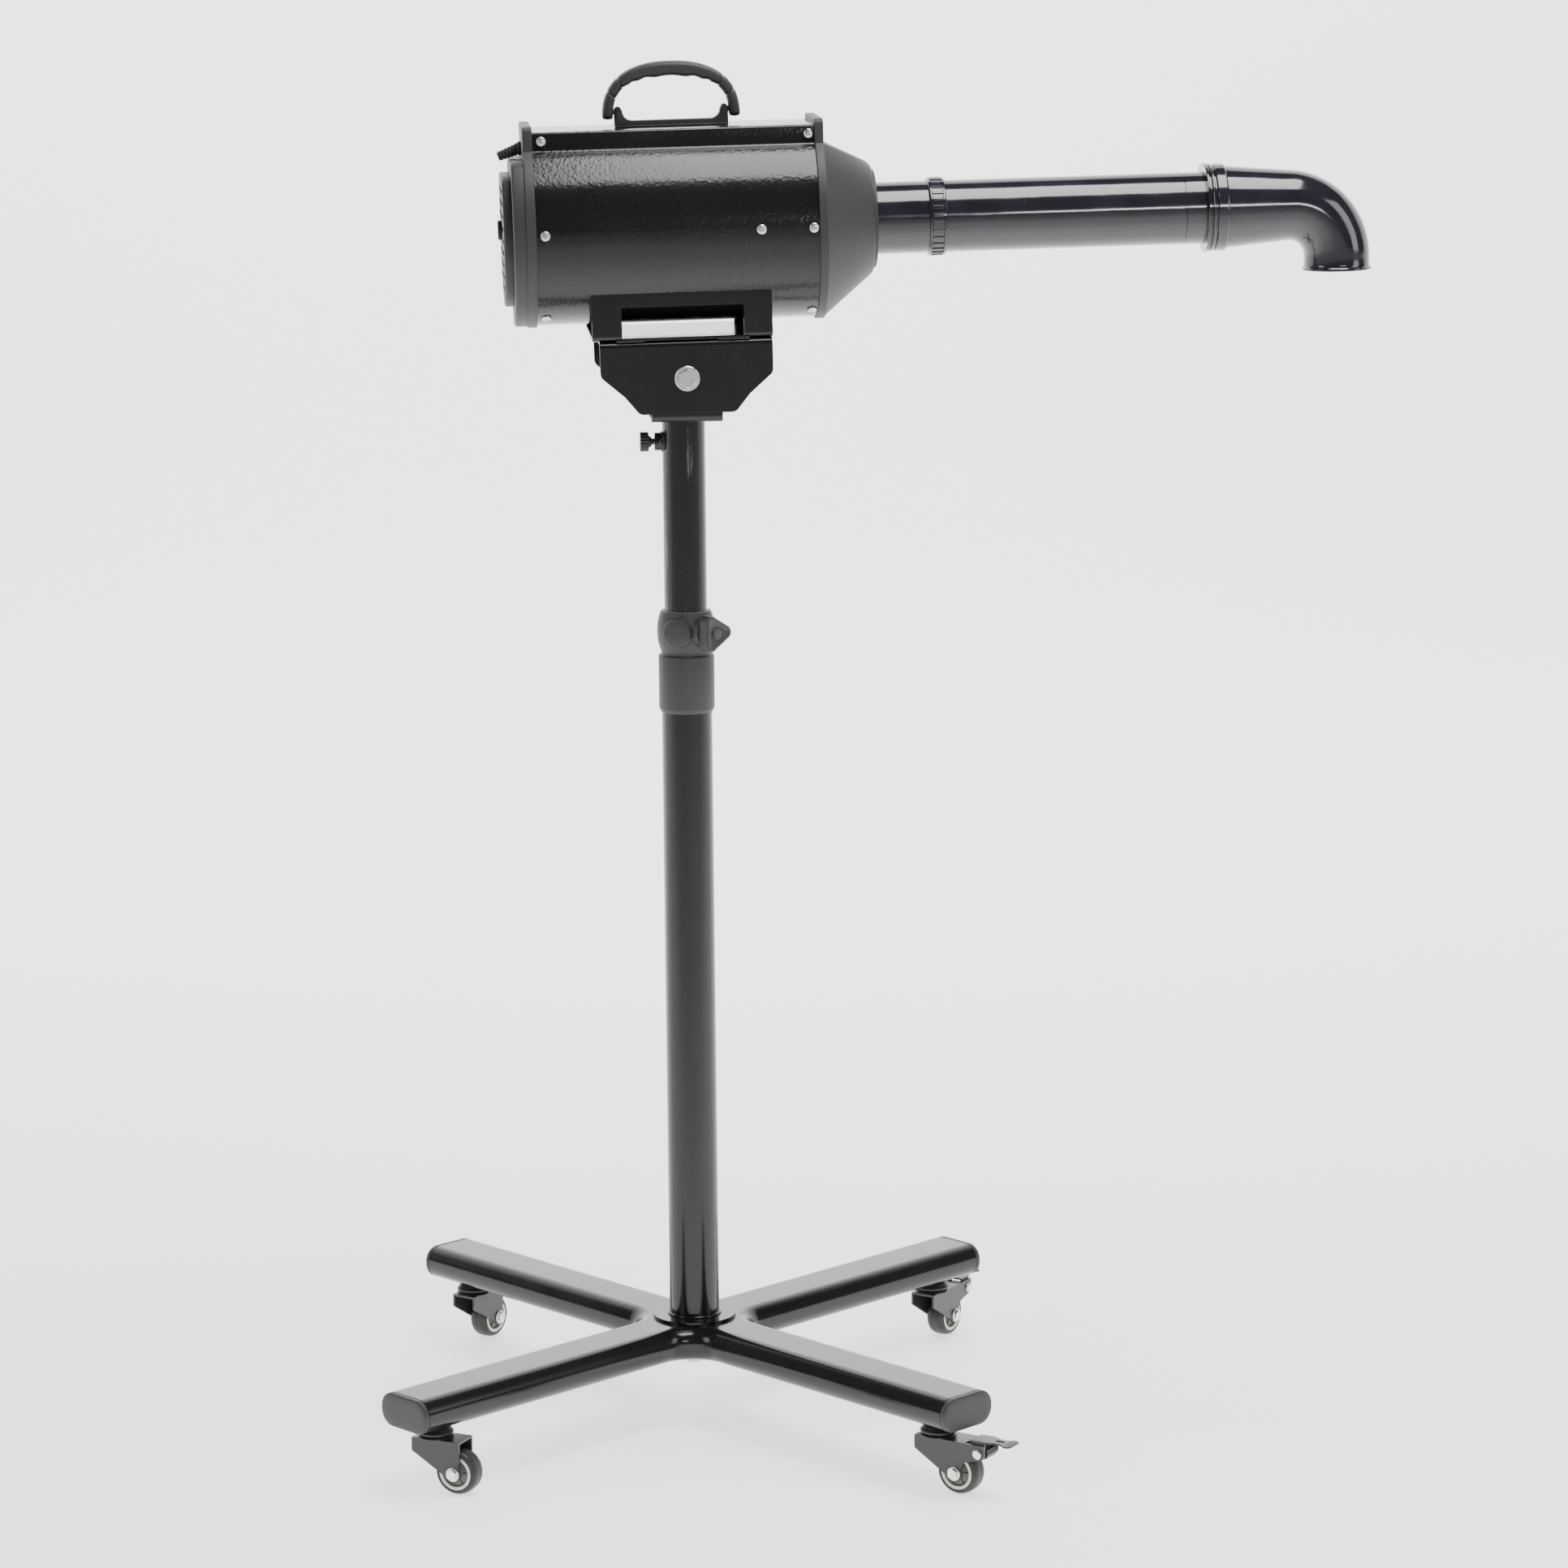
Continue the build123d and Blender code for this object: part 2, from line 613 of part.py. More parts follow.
def front_cone():
    """Plastic reducer from the body to the nozzle, with a flat facet on top."""
    start = front_flange_x[1]
    back = start - 20
    wall = cone_wall
    cone = turned([(0, start), (body_r + 0.5, start), (cone_tip_r, cone_tip_x),
                   (cone_lip_r, cone_tip_x + 0.8), (cone_lip_r, cone_lip_x), (0, cone_lip_x)], "X")
    cone = Pos(0, 0, axis_z) * cone - above_facet(start - 1, start + 60, 0)
    inner = turned([(0, back), (body_r - 8, back), (body_r - 8, start),
                    (cone_tip_r - wall - 1, cone_tip_x - wall), (0, cone_tip_x - wall)], "X")
    inner = Pos(0, 0, axis_z) * inner - above_facet(back - 10, start + 60, wall + 2)
    spigot = rod(body_r - sheet - 0.05, back, start, "X", (0, axis_z))
    spigot -= block((0, 300), (-200, 200), (axis_z + rear_flat, axis_z + 300))
    cap = ear_plate(front_flange_x) + cone + spigot
    return cap - inner - rod(tube_r + 0.05, 100, 300, "X", (0, axis_z))


def round_the_body(turn, x, shape):
    """Set a piece made along +Z on the body's surface, at an angle below the near side."""
    return Pos(x, 0, axis_z) * Rot(90 + turn, 0, 0) * Pos(0, 0, body_r) * shape


def body_screws():
    """Pan-head screws through the shell and the box walls."""
    head = Pos(0, 0, 1.1) * Cylinder(screw_r, 2.2)
    head = fillet(head.edges().filter_by(GeomType.CIRCLE).group_by(Axis.Z)[-1], 1.4)
    places = []
    for x in (rear_screw_x, front_screw_x):
        places += [round_the_body(turn, x, head) for turn in screw_turns]
        for side in (-1, 1):
            wall = Pos(x, side * box_half_y, switch_z()) * Rot(side * -90, 0, 0)
            places.append(wall * head)
    places.append(round_the_body(0.0, extra_screw_x, head))
    return solids(places)


# ---- inside the head
def air_duct():
    """Inner tube that the fan blows through, on spokes from the shell."""
    duct = rod(duct_r, *duct_x, "X", (0, axis_z)) - rod(duct_r - 1.0, -400, 400, "X", (0, axis_z))
    ring = rod(body_r - sheet - 0.1, -4, 0, "X", (0, axis_z))
    ring -= rod(duct_r - 0.5, -400, 400, "X", (0, axis_z))
    ring -= block((-300, 300), (-200, 200), (axis_z + rear_flat, axis_z + 300))
    spider = []
    for turn in (45, 135, 225, 315):
        arm = block((6, 14), (-3, 3), (motor_r + 0.1, duct_r - 0.5))
        spider.append(Pos(0, 0, axis_z) * Rot(turn, 0, 0) * arm)
    body = duct + ring
    for arm in spider:
        body += arm
    return body


def fan_motor():
    motor = rod(motor_r, *motor_x, "X", (0, axis_z))
    motor = fillet(motor.edges().filter_by(GeomType.CIRCLE), 4)
    return motor - rod(shaft_r + 0.4, -400, 400, "X", (0, axis_z))


def impeller():
    """Axial fan on the motor shaft."""
    hub = rod(16, *fan_x, "X", (0, axis_z))
    blades = hub
    for number in range(fan_blades):
        blade = Pos(sum(fan_x) / 2, 0, (14 + fan_r) / 2) * Rot(0, 0, 35) * Box(30, 2, fan_r - 14)
        blades += Pos(0, 0, axis_z) * Rot(360 / fan_blades * number, 0, 0) * blade
    blades = blades & rod(fan_r, -400, 400, "X", (0, axis_z))
    shaft = rod(shaft_r, fan_x[0], motor_x[1] + 8, "X", (0, axis_z))
    return blades + shaft


def heater():
    """Crossed heat-proof boards with rings of resistance wire."""
    boards = block(heater_x, (-duct_r + 1.2, duct_r - 1.2), (axis_z - 1, axis_z + 1))
    boards += block(heater_x, (-1, 1), (axis_z - 50, axis_z + 50))
    boards &= rod(duct_r - 1.2, -400, 400, "X", (0, axis_z))
    step = (heater_x[1] - heater_x[0]) / heater_coils
    for number in range(heater_coils):
        x = heater_x[0] + step * (number + 0.5)
        boards += Pos(x, 0, axis_z) * Rot(0, 90, 0) * Torus(44, 1.6)
        boards += Pos(x, 0, axis_z) * Rot(0, 90, 0) * Torus(26, 1.6)
    return boards


def control_board():
    """Speed and heat board on its standoffs, under the lid."""
    board = block((-70, 60), (-30, 30), (axis_z + 66, axis_z + 67.6))
    for x in (-60, 50):
        for y in (-24, 24):
            board += rod(3, axis_z + 59.9, axis_z + 66, at=(x, y))
    board -= rod(duct_r, -400, 400, "X", (0, axis_z))
    board += block((-40, -12), (-20, 6), (axis_z + 67.6, axis_z + 79))
    return board + block((10, 34), (-14, 14), (axis_z + 67.6, axis_z + 76))


# ---- switches
def switch_z():
    return axis_z + wall_middle_up


def switch_cutouts():
    return [(x, switch_half_x, switch_half_z) for x in switch_x.values()]


def rocker(name):
    """Rocker cap that tips about an upright pin inside the wall."""
    x = switch_x[name]
    z = switch_z()
    half_x = switch_half_x - 2.2
    half_z = switch_half_z - 1.6
    back = box_half_y - 3
    ends = box_half_y + 2.6
    face = Polyline((x - half_x, back), (x + half_x, back), (x + half_x, ends),
                    (x, box_half_y + 1.2), (x - half_x, ends), close=True)
    cap = Pos(0, 0, z - half_z) * extrude(make_face(face), 2 * half_z)
    return cap + rod(rocker_pin_r, z - half_z - 0.3, z + half_z + 0.3, at=(x, back))


def switch_frames():
    """Bezels that snap into the wall round each rocker."""
    frames = []
    for x in switch_x.values():
        z = switch_z()
        outer = block((x - switch_half_x - 1.3, x + switch_half_x + 1.3), (box_half_y, box_half_y + 1.2),
                      (z - switch_half_z - 1, z + switch_half_z + 1))
        throat = block((x - switch_half_x + 0.1, x + switch_half_x - 0.1), (box_half_y - 9, box_half_y),
                       (z - switch_half_z + 0.1, z + switch_half_z - 0.1))
        hole = block((x - switch_half_x + 1.2, x + switch_half_x - 1.2), (box_half_y - 7.5, box_half_y + 5),
                     (z - switch_half_z + 1.1, z + switch_half_z - 1.1))
        frames.append(outer + throat - hole)
    return solids(frames)


def speed_knob():
    knob = rod(6.8, box_half_y + running_gap, box_half_y + 9, "Y", (speed_x, switch_z()))
    knob = fillet(knob.edges().filter_by(GeomType.CIRCLE).group_by(Axis.Y)[-1], 1)
    knob -= block((speed_x - 0.6, speed_x + 0.6), (box_half_y + 8, box_half_y + 20),
                  (switch_z() + 1, switch_z() + 9))
    return knob + rod(3.0, box_half_y - 8, box_half_y + 2, "Y", (speed_x, switch_z()))


# ---- nozzle
def nozzle_base():
    """Short tube in the cone's mouth, with a flange inside it."""
    tube = rod(tube_r, *base_tube_x, "X", (0, axis_z))
    flange = rod(cone_tip_r - 6, base_tube_x[0], base_tube_x[0] + 2, "X", (0, axis_z))
    return tube + flange - rod(tube_r - tube_wall, 0, 400, "X", (0, axis_z))


def lock_ring():
    """Ribbed ring over the joint of the two tubes."""
    ring = rod(ring_r, *ring_x, "X", (0, axis_z))
    ring = fillet(ring.edges().filter_by(GeomType.CIRCLE), 1)
    for number in range(ring_ribs):
        groove = rod(1.3, ring_x[0] + 3.2, ring_x[1] - 3.2, "X", (ring_r + 0.5, 0))
        ring -= Pos(0, 0, axis_z) * Rot(360 / ring_ribs * number, 0, 0) * groove
    return ring - rod(tube_r + running_gap, 0, 400, "X", (0, axis_z))


def nozzle_tube():
    """Long tube with its end sleeve, marked off by a fine groove."""
    tube = rod(tube_r, base_tube_x[1], tube_end_x, "X", (0, axis_z))
    groove = rod(tube_r + 2, seam_x - 0.5, seam_x + 0.5, "X", (0, axis_z))
    groove -= rod(tube_r - 0.6, 0, 600, "X", (0, axis_z))
    return tube - groove - rod(tube_r - tube_wall, 0, 600, "X", (0, axis_z))


def bell(grow, start):
    """The flared run into the bend, thicker or thinner by grow."""
    curve = Spline((bell_r + grow, 0, start), (bell_r + grow - 1.4, 0, start + 22),
                   (spout_r + grow + 1.2, 0, bend_start_x - 14), (spout_r + grow, 0, bend_start_x),
                   tangents=((0, 0, 1), (0, 0, 1)))
    edge = Polyline((spout_r + grow, 0, bend_start_x), (0, 0, bend_start_x), (0, 0, start),
                    (bell_r + grow, 0, start))
    solid = revolve(make_face([curve, *edge.edges()]), Axis.Z)
    return Pos(0, 0, axis_z) * Rot(0, 90, 0) * solid


def bend(radius):
    """Quarter bend from along the nozzle to straight down, with the run below it."""
    centre = (bend_start_x, axis_z - bend_r)
    face = Plane(origin=(bend_start_x, 0, axis_z), x_dir=(0, 1, 0), z_dir=(1, 0, 0)) * Circle(radius)
    turn = revolve(face, Axis((centre[0], 0, centre[1]), (0, 1, 0)), 90)
    down = rod(radius, axis_z - spout_drop, axis_z - bend_r, at=(bend_start_x + bend_r, 0))
    return turn + down


def elbow():
    """Swivel collar, flared bend and the down-turned outlet with its lip."""
    x0, x1 = elbow_x
    top = collar_ring_r
    bore = tube_r + running_gap
    collar = turned([(bore, x0), (top, x0), (top, x0 + 2.4), (top - 3, x0 + 2.8), (top - 3, x0 + 4.2),
                     (top - 0.6, x0 + 4.6), (top - 0.6, x0 + 6.6), (top - 2.6, x0 + 7), (top - 2.6, x0 + 8.2),
                     (top - 0.8, x0 + 8.8), (top - 0.8, x1 - 0.8), (top - 1.8, x1), (bore, x1)], "X")
    collar = Pos(0, 0, axis_z) * collar
    outlet = (bend_start_x + bend_r, 0)
    lip = rod(spout_lip_r, axis_z - spout_drop, axis_z - spout_drop + 2.4, at=outlet)
    body = collar + bell(0, x1 - 1) + bend(spout_r) + lip
    body -= bell(-elbow_wall, tube_end_x + 2) + bend(spout_r - elbow_wall)
    body -= rod(spout_r - elbow_wall, axis_z - spout_drop - 5, axis_z - bend_r, at=outlet)
    return body - rod(bore, 0, tube_end_x + 2.01, "X", (0, axis_z))


# ---- carry handle
def handle_at(shape):
    """Stand a handle piece over the middle of the lid."""
    return Pos(handle_mid_x, 0, axis_z) * shape


def handle_base():
    """Foot bar with a post at each end, curved into the bar."""
    low = box_top + 0.05
    bar = low + 6.0
    foot = block((-post_half - 3, post_half + 3), (-11, 11), (low, low + 1.6))
    top = handle_pin_up + 4.5
    half = [(post_half + 3, low), (post_half + 3, top), (post_half - 3.5, top), (post_half - 5, bar + 6),
            (post_half - 12, bar)]
    outline = Polyline(*half, *[(-x, z) for x, z in reversed(half)], close=True)
    frame = extrude(Plane.XZ * make_face(outline), post_half_y, both=True)
    body = foot + frame
    return handle_at(body - rod(grip_pin_r, -100, 100, "X", (0, handle_pin_up)))


def handle_pins():
    """Pivot pins through the posts."""
    pins = []
    for side in (-1, 1):
        ends = sorted((side * (post_half - 3.4), side * (post_half + 9.5)))
        pins.append(handle_at(rod(grip_pin_r, *ends, "X", (0, handle_pin_up))))
    return solids(pins)


def handle_grip():
    """Moulded arch with finger scallops, hooked outside the posts."""
    outer_y = handle_top
    start = handle_pin_up - 7
    reach = handle_half
    tip = post_half + 3 + running_gap
    outer = Spline((-reach + 2, start), (-reach, start + 12), (-reach + 9, outer_y - 16),
                   (-22, outer_y - 2), (8, outer_y), (34, outer_y - 6), (reach - 6, outer_y - 22),
                   (reach, start + 12), (reach - 2, start))
    inner = Spline((tip, start), (tip + 0.6, start + 12), (reach - 16, outer_y - 28),
                   (24, outer_y - grip_t - 3), (0, outer_y - grip_t), (-24, outer_y - grip_t - 2),
                   (-reach + 19, outer_y - 26), (-tip - 0.6, start + 12), (-tip, start))
    ends = [Line((-tip, start), (-reach + 2, start)), Line((reach - 2, start), (tip, start))]
    section = make_face([outer, inner, *ends])
    for x in (-27, -9, 9, 27):
        depth = outer_y - grip_t - 1.2 if abs(x) < 20 else outer_y - grip_t - 4.2
        section -= Pos(x, depth - 7.5) * Circle(9.5)
    grip = extrude(Plane.XZ * section, grip_w / 2, both=True)
    return handle_at(grip - rod(grip_pin_r + pin_gap, -100, 100, "X", (0, handle_pin_up)))


# ---- write every node
def tip_head(shape):
    """Tip a head piece nose up about the tilt bolt."""
    return Pos(0, 0, pivot_z) * Rot(0, -head_tilt, 0) * Pos(0, 0, -pivot_z) * shape


def write_base():
    put(solids(leg(angle) for angle in leg_angles.values()), "legs")
    put(base_hub(), "base_hub")
    put(hub_bolt(), "hub_bolt")
    put(solids(leg_cap(angle) for angle in leg_angles.values()), "leg_end_caps")
    put(solids(castor_cup(name) for name in leg_angles), "castor_stems")
    for name in leg_angles:
        put(fork(name), f"fork_{name}")
        put(axle(name), f"axle_{name}")
        put(tyre(name), f"tyre_{name}")
        put(rim(name), f"rim_{name}")
    for name in braked:
        put(brake_pedal(name), f"brake_{name}")


def write_mast():
    put(outer_tube(), "outer_tube")
    put(clamp_collar(), "clamp_collar")
    put(collar_bush(), "collar_bush")
    put(clamp_knob(), "clamp_knob")
    put(inner_tube(), "inner_tube")
    put(glide_bush(), "glide_bush")
    put(thumb_screw(), "thumb_screw")
    put(yoke(), "yoke")


def write_head():
    pieces = {
        "tilt_washers": tilt_washers(), "tilt_bolt": tilt_bolt(), "clevis": clevis(), "saddle": saddle(),
        "body_shell": body_shell(), "control_box": control_box(), "rear_cap": rear_cap(),
        "filter_cover": filter_cover(), "filter_pad": filter_pad(), "filter_knob": filter_knob(),
        "cable_gland": cable_gland(), "front_cone": front_cone(), "body_screws": body_screws(),
        "air_duct": air_duct(), "fan_motor": fan_motor(), "impeller": impeller(), "heater": heater(),
        "control_board": control_board(), "power_rocker": rocker("power"), "heat_rocker": rocker("heat"),
        "switch_frames": switch_frames(), "speed_knob": speed_knob(), "nozzle_base": nozzle_base(),
        "lock_ring": lock_ring(), "nozzle_tube": nozzle_tube(), "elbow": elbow(),
        "handle_base": handle_base(), "handle_pins": handle_pins(), "handle_grip": handle_grip(),
    }
    for name, shape in pieces.items():
        put(tip_head(shape), name)


write_base()
write_mast()
write_head()
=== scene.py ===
"""Stand dryer: a grooming blower on a tilting bracket, a telescopic mast and a cross base on castors.

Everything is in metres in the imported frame: +Z up, the nozzle along +X, the origin on the floor
under the mast. Pieces of the head are modelled level about the head's own axis, and castor pieces
about their own swivel, and then set in place.
"""

import json
from math import acos, atan2, copysign, cos, degrees, hypot, pi, radians, sin, sqrt

import bmesh
import bpy
from mathutils import Matrix, Vector


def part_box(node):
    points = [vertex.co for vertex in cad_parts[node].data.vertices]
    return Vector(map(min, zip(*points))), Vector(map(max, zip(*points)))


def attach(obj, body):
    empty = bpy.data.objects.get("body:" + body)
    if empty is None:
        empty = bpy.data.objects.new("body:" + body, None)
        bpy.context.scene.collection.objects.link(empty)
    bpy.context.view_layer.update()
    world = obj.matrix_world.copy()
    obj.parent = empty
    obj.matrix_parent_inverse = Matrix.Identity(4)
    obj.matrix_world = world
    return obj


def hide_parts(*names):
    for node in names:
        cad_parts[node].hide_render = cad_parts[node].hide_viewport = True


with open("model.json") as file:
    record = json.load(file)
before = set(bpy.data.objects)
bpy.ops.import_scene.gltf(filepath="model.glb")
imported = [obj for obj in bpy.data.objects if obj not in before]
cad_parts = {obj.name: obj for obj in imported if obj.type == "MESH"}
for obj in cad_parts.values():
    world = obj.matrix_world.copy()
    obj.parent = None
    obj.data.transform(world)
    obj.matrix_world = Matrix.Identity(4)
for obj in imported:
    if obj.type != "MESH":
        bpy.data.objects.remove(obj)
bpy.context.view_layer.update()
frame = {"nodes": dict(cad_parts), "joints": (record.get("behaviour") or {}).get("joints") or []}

bl_info = {
    "name": "Stand Dryer",
    "version": (1, 0, 0),
    "blender": (4, 5, 0),
    "location": "View3D > Sidebar > Stand Dryer",
    "description": "Builds a grooming stand dryer round its working frame, piece by piece",
    "category": "Add Mesh",
}

MM = 0.001
SIDEWAYS = Vector((0, 1, 0))
JOINTS = {joint["name"]: joint for joint in frame["joints"]}
CORNERS = ("front_right", "back_right", "back_left", "front_left")
BRAKED = ("front_right", "back_right")


def joint_place(name):
    return Vector(JOINTS[name]["pos_m"])


def joint_axis(name):
    return Vector(JOINTS[name]["axis"]).normalized()


def frame_from(origin, x_axis, z_axis):
    """A placement whose +X and +Z lie along two directions at right angles."""
    y_axis = z_axis.cross(x_axis)
    turn = Matrix((x_axis, y_axis, z_axis)).transposed().to_4x4()
    return Matrix.Translation(origin) @ turn


def head_frame():
    """Origin on the head's axis, straight above the tilt bolt in the head's own level; +X forwards."""
    along = joint_axis("elbow_swivel")
    start = joint_place("elbow_swivel")
    foot = start + along * along.dot(joint_place("head_tilt") - start)
    return frame_from(foot, along, along.cross(SIDEWAYS))


def castor_frame(corner):
    """Origin on the floor under the swivel; +X the way the wheel trails, +Y along its axle."""
    axle = joint_axis(f"roll_{corner}")
    swivel = joint_place(f"swivel_{corner}")
    trail = axle.cross(Vector((0, 0, 1)))
    return frame_from(Vector((swivel.x, swivel.y, 0)), trail, Vector((0, 0, 1)))


def leg_frame(corner):
    """Origin on the floor under the mast; +X out along a leg."""
    swivel = joint_place(f"swivel_{corner}")
    out = Vector((swivel.x, swivel.y, 0)).normalized()
    return frame_from(Vector((0, 0, 0)), out, Vector((0, 0, 1)))


def clamp_frame():
    """Origin on the mast at the hand knob's height; +Z out along the knob's screw."""
    out = joint_axis("clamp_knob_turn")
    height = joint_place("clamp_knob_turn").z
    return frame_from(Vector((0, 0, height)), Vector((0, 0, -1)), out)


HEAD = head_frame()


# ---- sizes a user would change
class DryerSizes(bpy.types.PropertyGroup):
    sheet: bpy.props.FloatProperty(
        name="Sheet", description="Thickness of the bracket's steel sheet",
        default=2.5 * MM, min=1 * MM, max=4 * MM, subtype="DISTANCE", unit="LENGTH")
    edge: bpy.props.FloatProperty(
        name="Edge", description="Radius left on a painted sheet edge",
        default=0.5 * MM, min=0.1 * MM, max=2 * MM, subtype="DISTANCE", unit="LENGTH")
    weld: bpy.props.FloatProperty(
        name="Weld", description="Radius of a weld bead",
        default=1.6 * MM, min=0.5 * MM, max=4 * MM, subtype="DISTANCE", unit="LENGTH")
    facets: bpy.props.IntProperty(
        name="Facets", description="Steps round a large turned piece", default=96, min=24, max=256)
    ring_ribs: bpy.props.IntProperty(
        name="Ring ribs", description="Ribs round the nozzle's lock ring", default=30, min=8, max=60)


class DryerColours(bpy.types.PropertyGroup):
    coat: bpy.props.FloatVectorProperty(
        name="Coat", description="Powder coat on the steel", subtype="COLOR",
        default=(0.0075, 0.0068, 0.0068), min=0, max=1)
    moulding: bpy.props.FloatVectorProperty(
        name="Moulding", description="Matt plastic of the caps, cone and clamp", subtype="COLOR",
        default=(0.026, 0.0225, 0.0235), min=0, max=1)
    grip: bpy.props.FloatVectorProperty(
        name="Grip", description="Plastic of the carry handle", subtype="COLOR",
        default=(0.022, 0.0195, 0.021), min=0, max=1)
    nozzle: bpy.props.FloatVectorProperty(
        name="Nozzle", description="Polished plastic of the nozzle", subtype="COLOR",
        default=(0.0085, 0.0080, 0.0095), min=0, max=1)
    wheel_centre: bpy.props.FloatVectorProperty(
        name="Wheel centre", description="Nylon of the wheel centres", subtype="COLOR",
        default=(0.74, 0.72, 0.66), min=0, max=1)


# ---- shader sums
class Wire:
    """A shader socket that takes part in ordinary sums."""

    def __init__(self, finish, socket):
        self.finish = finish
        self.socket = socket

    def sum(self, operation, *terms, clamp=False):
        settings = {"operation": operation, "use_clamp": clamp}
        return self.finish.node("Math", settings, dict(enumerate(terms)))

    def __add__(self, other):
        return self.sum("ADD", self, other)

    __radd__ = __add__

    def __mul__(self, other):
        return self.sum("MULTIPLY", self, other)

    __rmul__ = __mul__

    def __sub__(self, other):
        return self.sum("SUBTRACT", self, other)

    def __rsub__(self, other):
        return self.sum("SUBTRACT", other, self)

    def above(self, level, soft):
        """0 below a level, 1 above it, with a soft step of the given width."""
        return self.sum("MULTIPLY_ADD", self, 1 / soft, 0.5 - level / soft, clamp=True)


class Finish:
    """One material, built from a Principled shader."""

    def __init__(self, name, colour, roughness, metallic=0.0, coat=0.0, specular=0.5):
        self.material = bpy.data.materials.new(name)
        self.material.use_nodes = True
        self.tree = self.material.node_tree
        self.tree.nodes.clear()
        output = self.tree.nodes.new("ShaderNodeOutputMaterial")
        self.shader = self.tree.nodes.new("ShaderNodeBsdfPrincipled")
        self.tree.links.new(self.shader.outputs[0], output.inputs[0])
        self.colour = (*colour, 1.0)
        self.set("Base Color", self.colour)
        self.set("Roughness", roughness)
        self.set("Metallic", metallic)
        self.set("Coat Weight", coat)
        self.set("Coat Roughness", 0.06)
        self.set("Specular IOR Level", specular)
        self.where = self.node("TexCoord", {}, {}, "Object")

    def node(self, kind, settings, inputs, output=0):
        """Add a node: its settings first, then the values or links of its sockets."""
        made = self.tree.nodes.new("ShaderNode" + kind)
        for key, value in settings.items():
            setattr(made, key, value)
        for key, value in inputs.items():
            self.feed(made.inputs[key], value)
        return Wire(self, made.outputs[output])

    def feed(self, socket, value):
        if isinstance(value, Wire):
            self.tree.links.new(value.socket, socket)
        else:
            socket.default_value = value

    def set(self, name, value):
        self.feed(self.shader.inputs[name], value)

    def noise(self, scale, detail=2.0, stretch=(1, 1, 1)):
        """Noise with so many features to the metre, stretched along the axes."""
        spot = self.where
        if stretch != (1, 1, 1):
            spot = self.node("Mapping", {}, {"Vector": self.where, "Scale": stretch})
        return self.node("TexNoise", {}, {"Vector": spot, "Scale": scale, "Detail": detail})

    def tint(self, base, other, amount):
        """Mix two colours by a mask."""
        made = self.tree.nodes.new("ShaderNodeMix")
        made.data_type = "RGBA"
        self.feed(made.inputs["Factor"], amount)
        for key, value in (("A", base), ("B", other)):
            self.feed(next(s for s in made.inputs if s.name == key and s.type == "RGBA"), value)
        return Wire(self, next(s for s in made.outputs if s.type == "RGBA"))

    def bump(self, height, distance):
        """Raise the surface by a height map, over the given distance in metres."""
        self.set("Normal", self.node("Bump", {}, {"Height": height, "Distance": distance}))


def lighter(colour, factor):
    """A colour scaled up, or down below 1."""
    return (*[min(1.0, channel * factor) for channel in colour[:3]], 1.0)


def powder_coat(name, colour, peel_scale, peel, scuffed=0.0):
    """Gloss black powder coat: orange peel, faint clouding, dust and a few rubbed marks."""
    made = Finish(name, colour, 0.16, specular=0.42)
    peel_map = made.noise(peel_scale, 1.5)
    cloud = made.noise(14, 3)
    dust = made.noise(900, 1).above(0.735, 0.05) * made.noise(60, 2).above(0.48, 0.2)
    scratch = made.noise(70, 4, (3, 3, 0.22)).above(0.66, 0.08)
    mark = scratch * scuffed + dust * 0.35
    made.set("Base Color", made.tint(made.tint(made.colour, lighter(made.colour, 1.8), cloud),
                                     (0.16, 0.15, 0.145, 1), mark))
    made.set("Roughness", 0.12 + cloud * 0.10 + mark * 0.35)
    made.bump(peel_map + scratch * (0.4 * scuffed), peel)
    return made.material


def moulded(name, colour, grain_scale, grain, roughness):
    """Moulded plastic: fine spark grain, slight flow clouding and handling polish."""
    made = Finish(name, colour, roughness)
    texture = made.noise(grain_scale, 2)
    pits = made.noise(grain_scale * 0.45, 1).above(0.6, 0.2)
    cloud = made.noise(18, 3)
    made.set("Base Color", made.tint(lighter(colour, 0.86), lighter(colour, 1.22), cloud))
    made.set("Roughness", (roughness - 0.10) + cloud * 0.14 + texture * 0.08)
    made.bump(texture - pits * 0.35, grain)
    return made.material


def polished_plastic(name, colour):
    """Polished black plastic: faint waviness, cool clouding, hairline rubs and specks."""
    made = Finish(name, colour, 0.1, coat=0.35, specular=0.62)
    wave = made.noise(38, 1.5)
    rub = made.noise(130, 4, (0.12, 1, 1)).above(0.62, 0.14)
    speck = made.noise(1100, 1).above(0.76, 0.04)
    made.set("Base Color", made.tint(made.tint(made.colour, (0.021, 0.018, 0.028, 1), wave),
                                     (0.10, 0.10, 0.11, 1), speck * 0.5))
    made.set("Roughness", 0.09 + wave * 0.07 + rub * 0.06 + speck * 0.2)
    made.bump(wave + rub * 0.05, 0.25 * MM)
    return made.material


def plated(name, colour, roughness, scale=240):
    """Plated or turned steel: fine tool lines, stains and dull patches."""
    made = Finish(name, colour, roughness, metallic=1.0)
    lines = made.noise(scale * 5, 3, (1, 1, 0.1))
    stain = made.noise(scale * 0.4, 4).above(0.56, 0.25)
    made.set("Base Color", made.tint(made.colour, lighter(colour, 0.55), stain * 0.6))
    made.set("Roughness", roughness + stain * 0.16 + lines * 0.08)
    made.bump(lines, 0.02 * MM)
    return made.material


